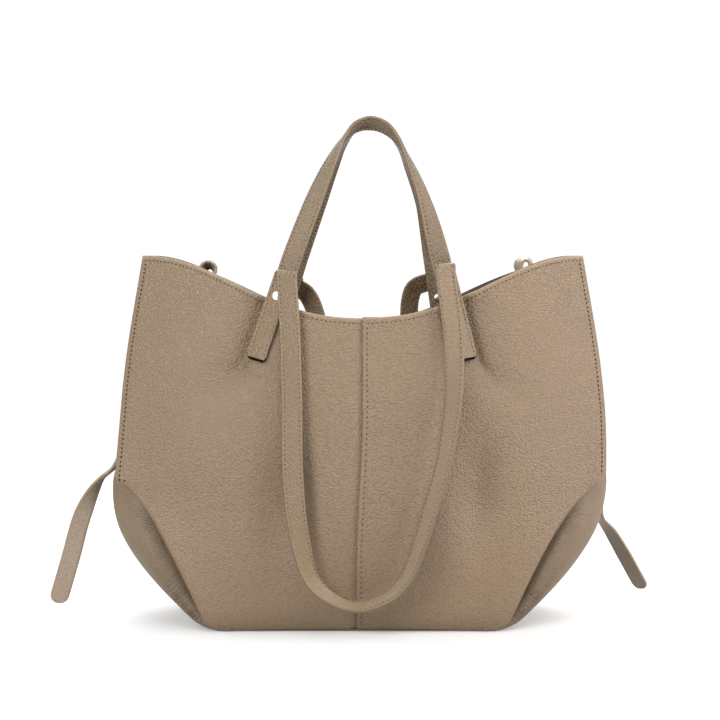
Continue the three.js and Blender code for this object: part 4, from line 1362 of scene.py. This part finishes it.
for face_name, face_rise, at_back, strap_shape in FACES:
    for hand_name, hand_side in HANDS:
        body_panel(f"{face_name}_panel_{hand_name}", hand_side, face_rise, at_back)
        strap_tab(f"{face_name}_{hand_name}_strap_tab", hand_side, face_rise, at_back)
        rivet(f"{face_name}_{hand_name}_rivet_cap", hand_side, face_rise, at_back, True)
        rivet(f"{face_name}_{hand_name}_rivet_post", hand_side, face_rise, at_back, False)
    rim_facing(f"{face_name}_facing", face_rise, at_back)
    carry_handle(f"{face_name}_handle", face_name, face_rise, at_back)
    shoulder_strap(f"{face_name}_shoulder_strap", strap_shape, face_rise, at_back)
    body_stitches(f"{face_name}_stitches", face_rise, at_back)
for hand_name, hand_side in HANDS:
    gusset(f"{hand_name}_gusset", hand_side)
base_panel()
base_board()
side_tie("left", -1, LEFT_TIE)
side_tie("right", 1, RIGHT_TIE)

# Floor, light and camera, in metres
FLOOR_REACH = 1.3
FLOOR_DROP = 0.0004
FLOOR_GLOW = 0.2
SKY = 1.8
HORIZON = 1.04
FRONT_ROOM = 0.4
BAG_CENTRE = (0, 0, 0.25)
ROSY = (1, 0.94, 0.93)
LENS = 52.78
SENSOR_WIDTH = 36
CAMERA_PLACE = (-0.0027, -1.03, 0.247)
scene = bpy.context.scene
scene.view_settings.view_transform = "Standard"


def studio_floor():
    bm = bmesh.new()
    bmesh.ops.create_grid(bm, x_segments=1, y_segments=1, size=FLOOR_REACH)
    bmesh.ops.translate(bm, vec=Vector((0, 0, -FLOOR_DROP)), verts=bm.verts[:])
    mesh = bpy.data.meshes.new("floor")
    bm.to_mesh(mesh)
    bm.free()
    pale = plain_finish("pale_floor", FLOOR_GREY, 0.8, 300.0, 0.02, tone=0.01)
    shader = pale.node_tree.nodes["Principled BSDF"]
    shader.inputs["Emission Color"].default_value = (1, 1, 1, 1)
    shader.inputs["Emission Strength"].default_value = FLOOR_GLOW
    mesh.materials.append(pale)
    floor = bpy.data.objects.new("floor", mesh)
    scene.collection.objects.link(floor)


def studio_room():
    """A white room, brighter overhead and dimmer on the camera's side."""
    world = bpy.data.worlds.new("studio")
    world.use_nodes = True
    scene.world = world
    tree = world.node_tree
    link = tree.links.new
    backdrop = tree.nodes["Background"]
    backdrop.inputs["Color"].default_value = (1, 1, 1, 1)
    direction = add_node(tree, "ShaderNodeTexCoord")
    parts = add_node(tree, "ShaderNodeSeparateXYZ")
    link(direction.outputs["Generated"], parts.inputs[0])
    glow = add_node(tree, "ShaderNodeMath", operation="MULTIPLY")
    shades = (("Z", 0.34, 0.9, HORIZON, SKY), ("Y", -0.3, 0.3, FRONT_ROOM, 1))
    for k, (part, low, high, least, most) in enumerate(shades):
        values = {"From Min": low, "From Max": high, "To Min": least, "To Max": most}
        share = add_node(tree, "ShaderNodeMapRange", values, interpolation_type="SMOOTHSTEP")
        link(parts.outputs[part], share.inputs["Value"])
        link(share.outputs["Result"], glow.inputs[k])
    link(glow.outputs[0], backdrop.inputs["Strength"])


def soft_light(name, at, target, size, power, color=(1, 1, 1)):
    lamp = bpy.data.lights.new(name, "AREA")
    lamp.energy = power
    lamp.size = size
    lamp.color = color
    light = bpy.data.objects.new(name, lamp)
    light.location = at
    light.rotation_euler = (Vector(target) - Vector(at)).to_track_quat("-Z", "Y").to_euler()
    scene.collection.objects.link(light)


def level_camera():
    lens = bpy.data.cameras.new("camera")
    lens.lens = LENS
    lens.sensor_width = SENSOR_WIDTH
    camera = bpy.data.objects.new("camera", lens)
    camera.location = CAMERA_PLACE
    camera.rotation_euler = (math.radians(90), 0, 0)
    scene.collection.objects.link(camera)
    scene.camera = camera


studio_floor()
studio_room()
soft_light("key", (0.2, -1.0, 1.3), BAG_CENTRE, 0.8, 10)
soft_light("left_side", (-0.95, -1.2, 0.9), BAG_CENTRE, 0.7, 23)
soft_light("right_side", (1.4, -0.6, 0.8), BAG_CENTRE, 0.8, 26, ROSY)
soft_light("floor_wash", (0, 1.3, 1.5), (0, 0.9, 0), 1.6, 40)
level_camera()
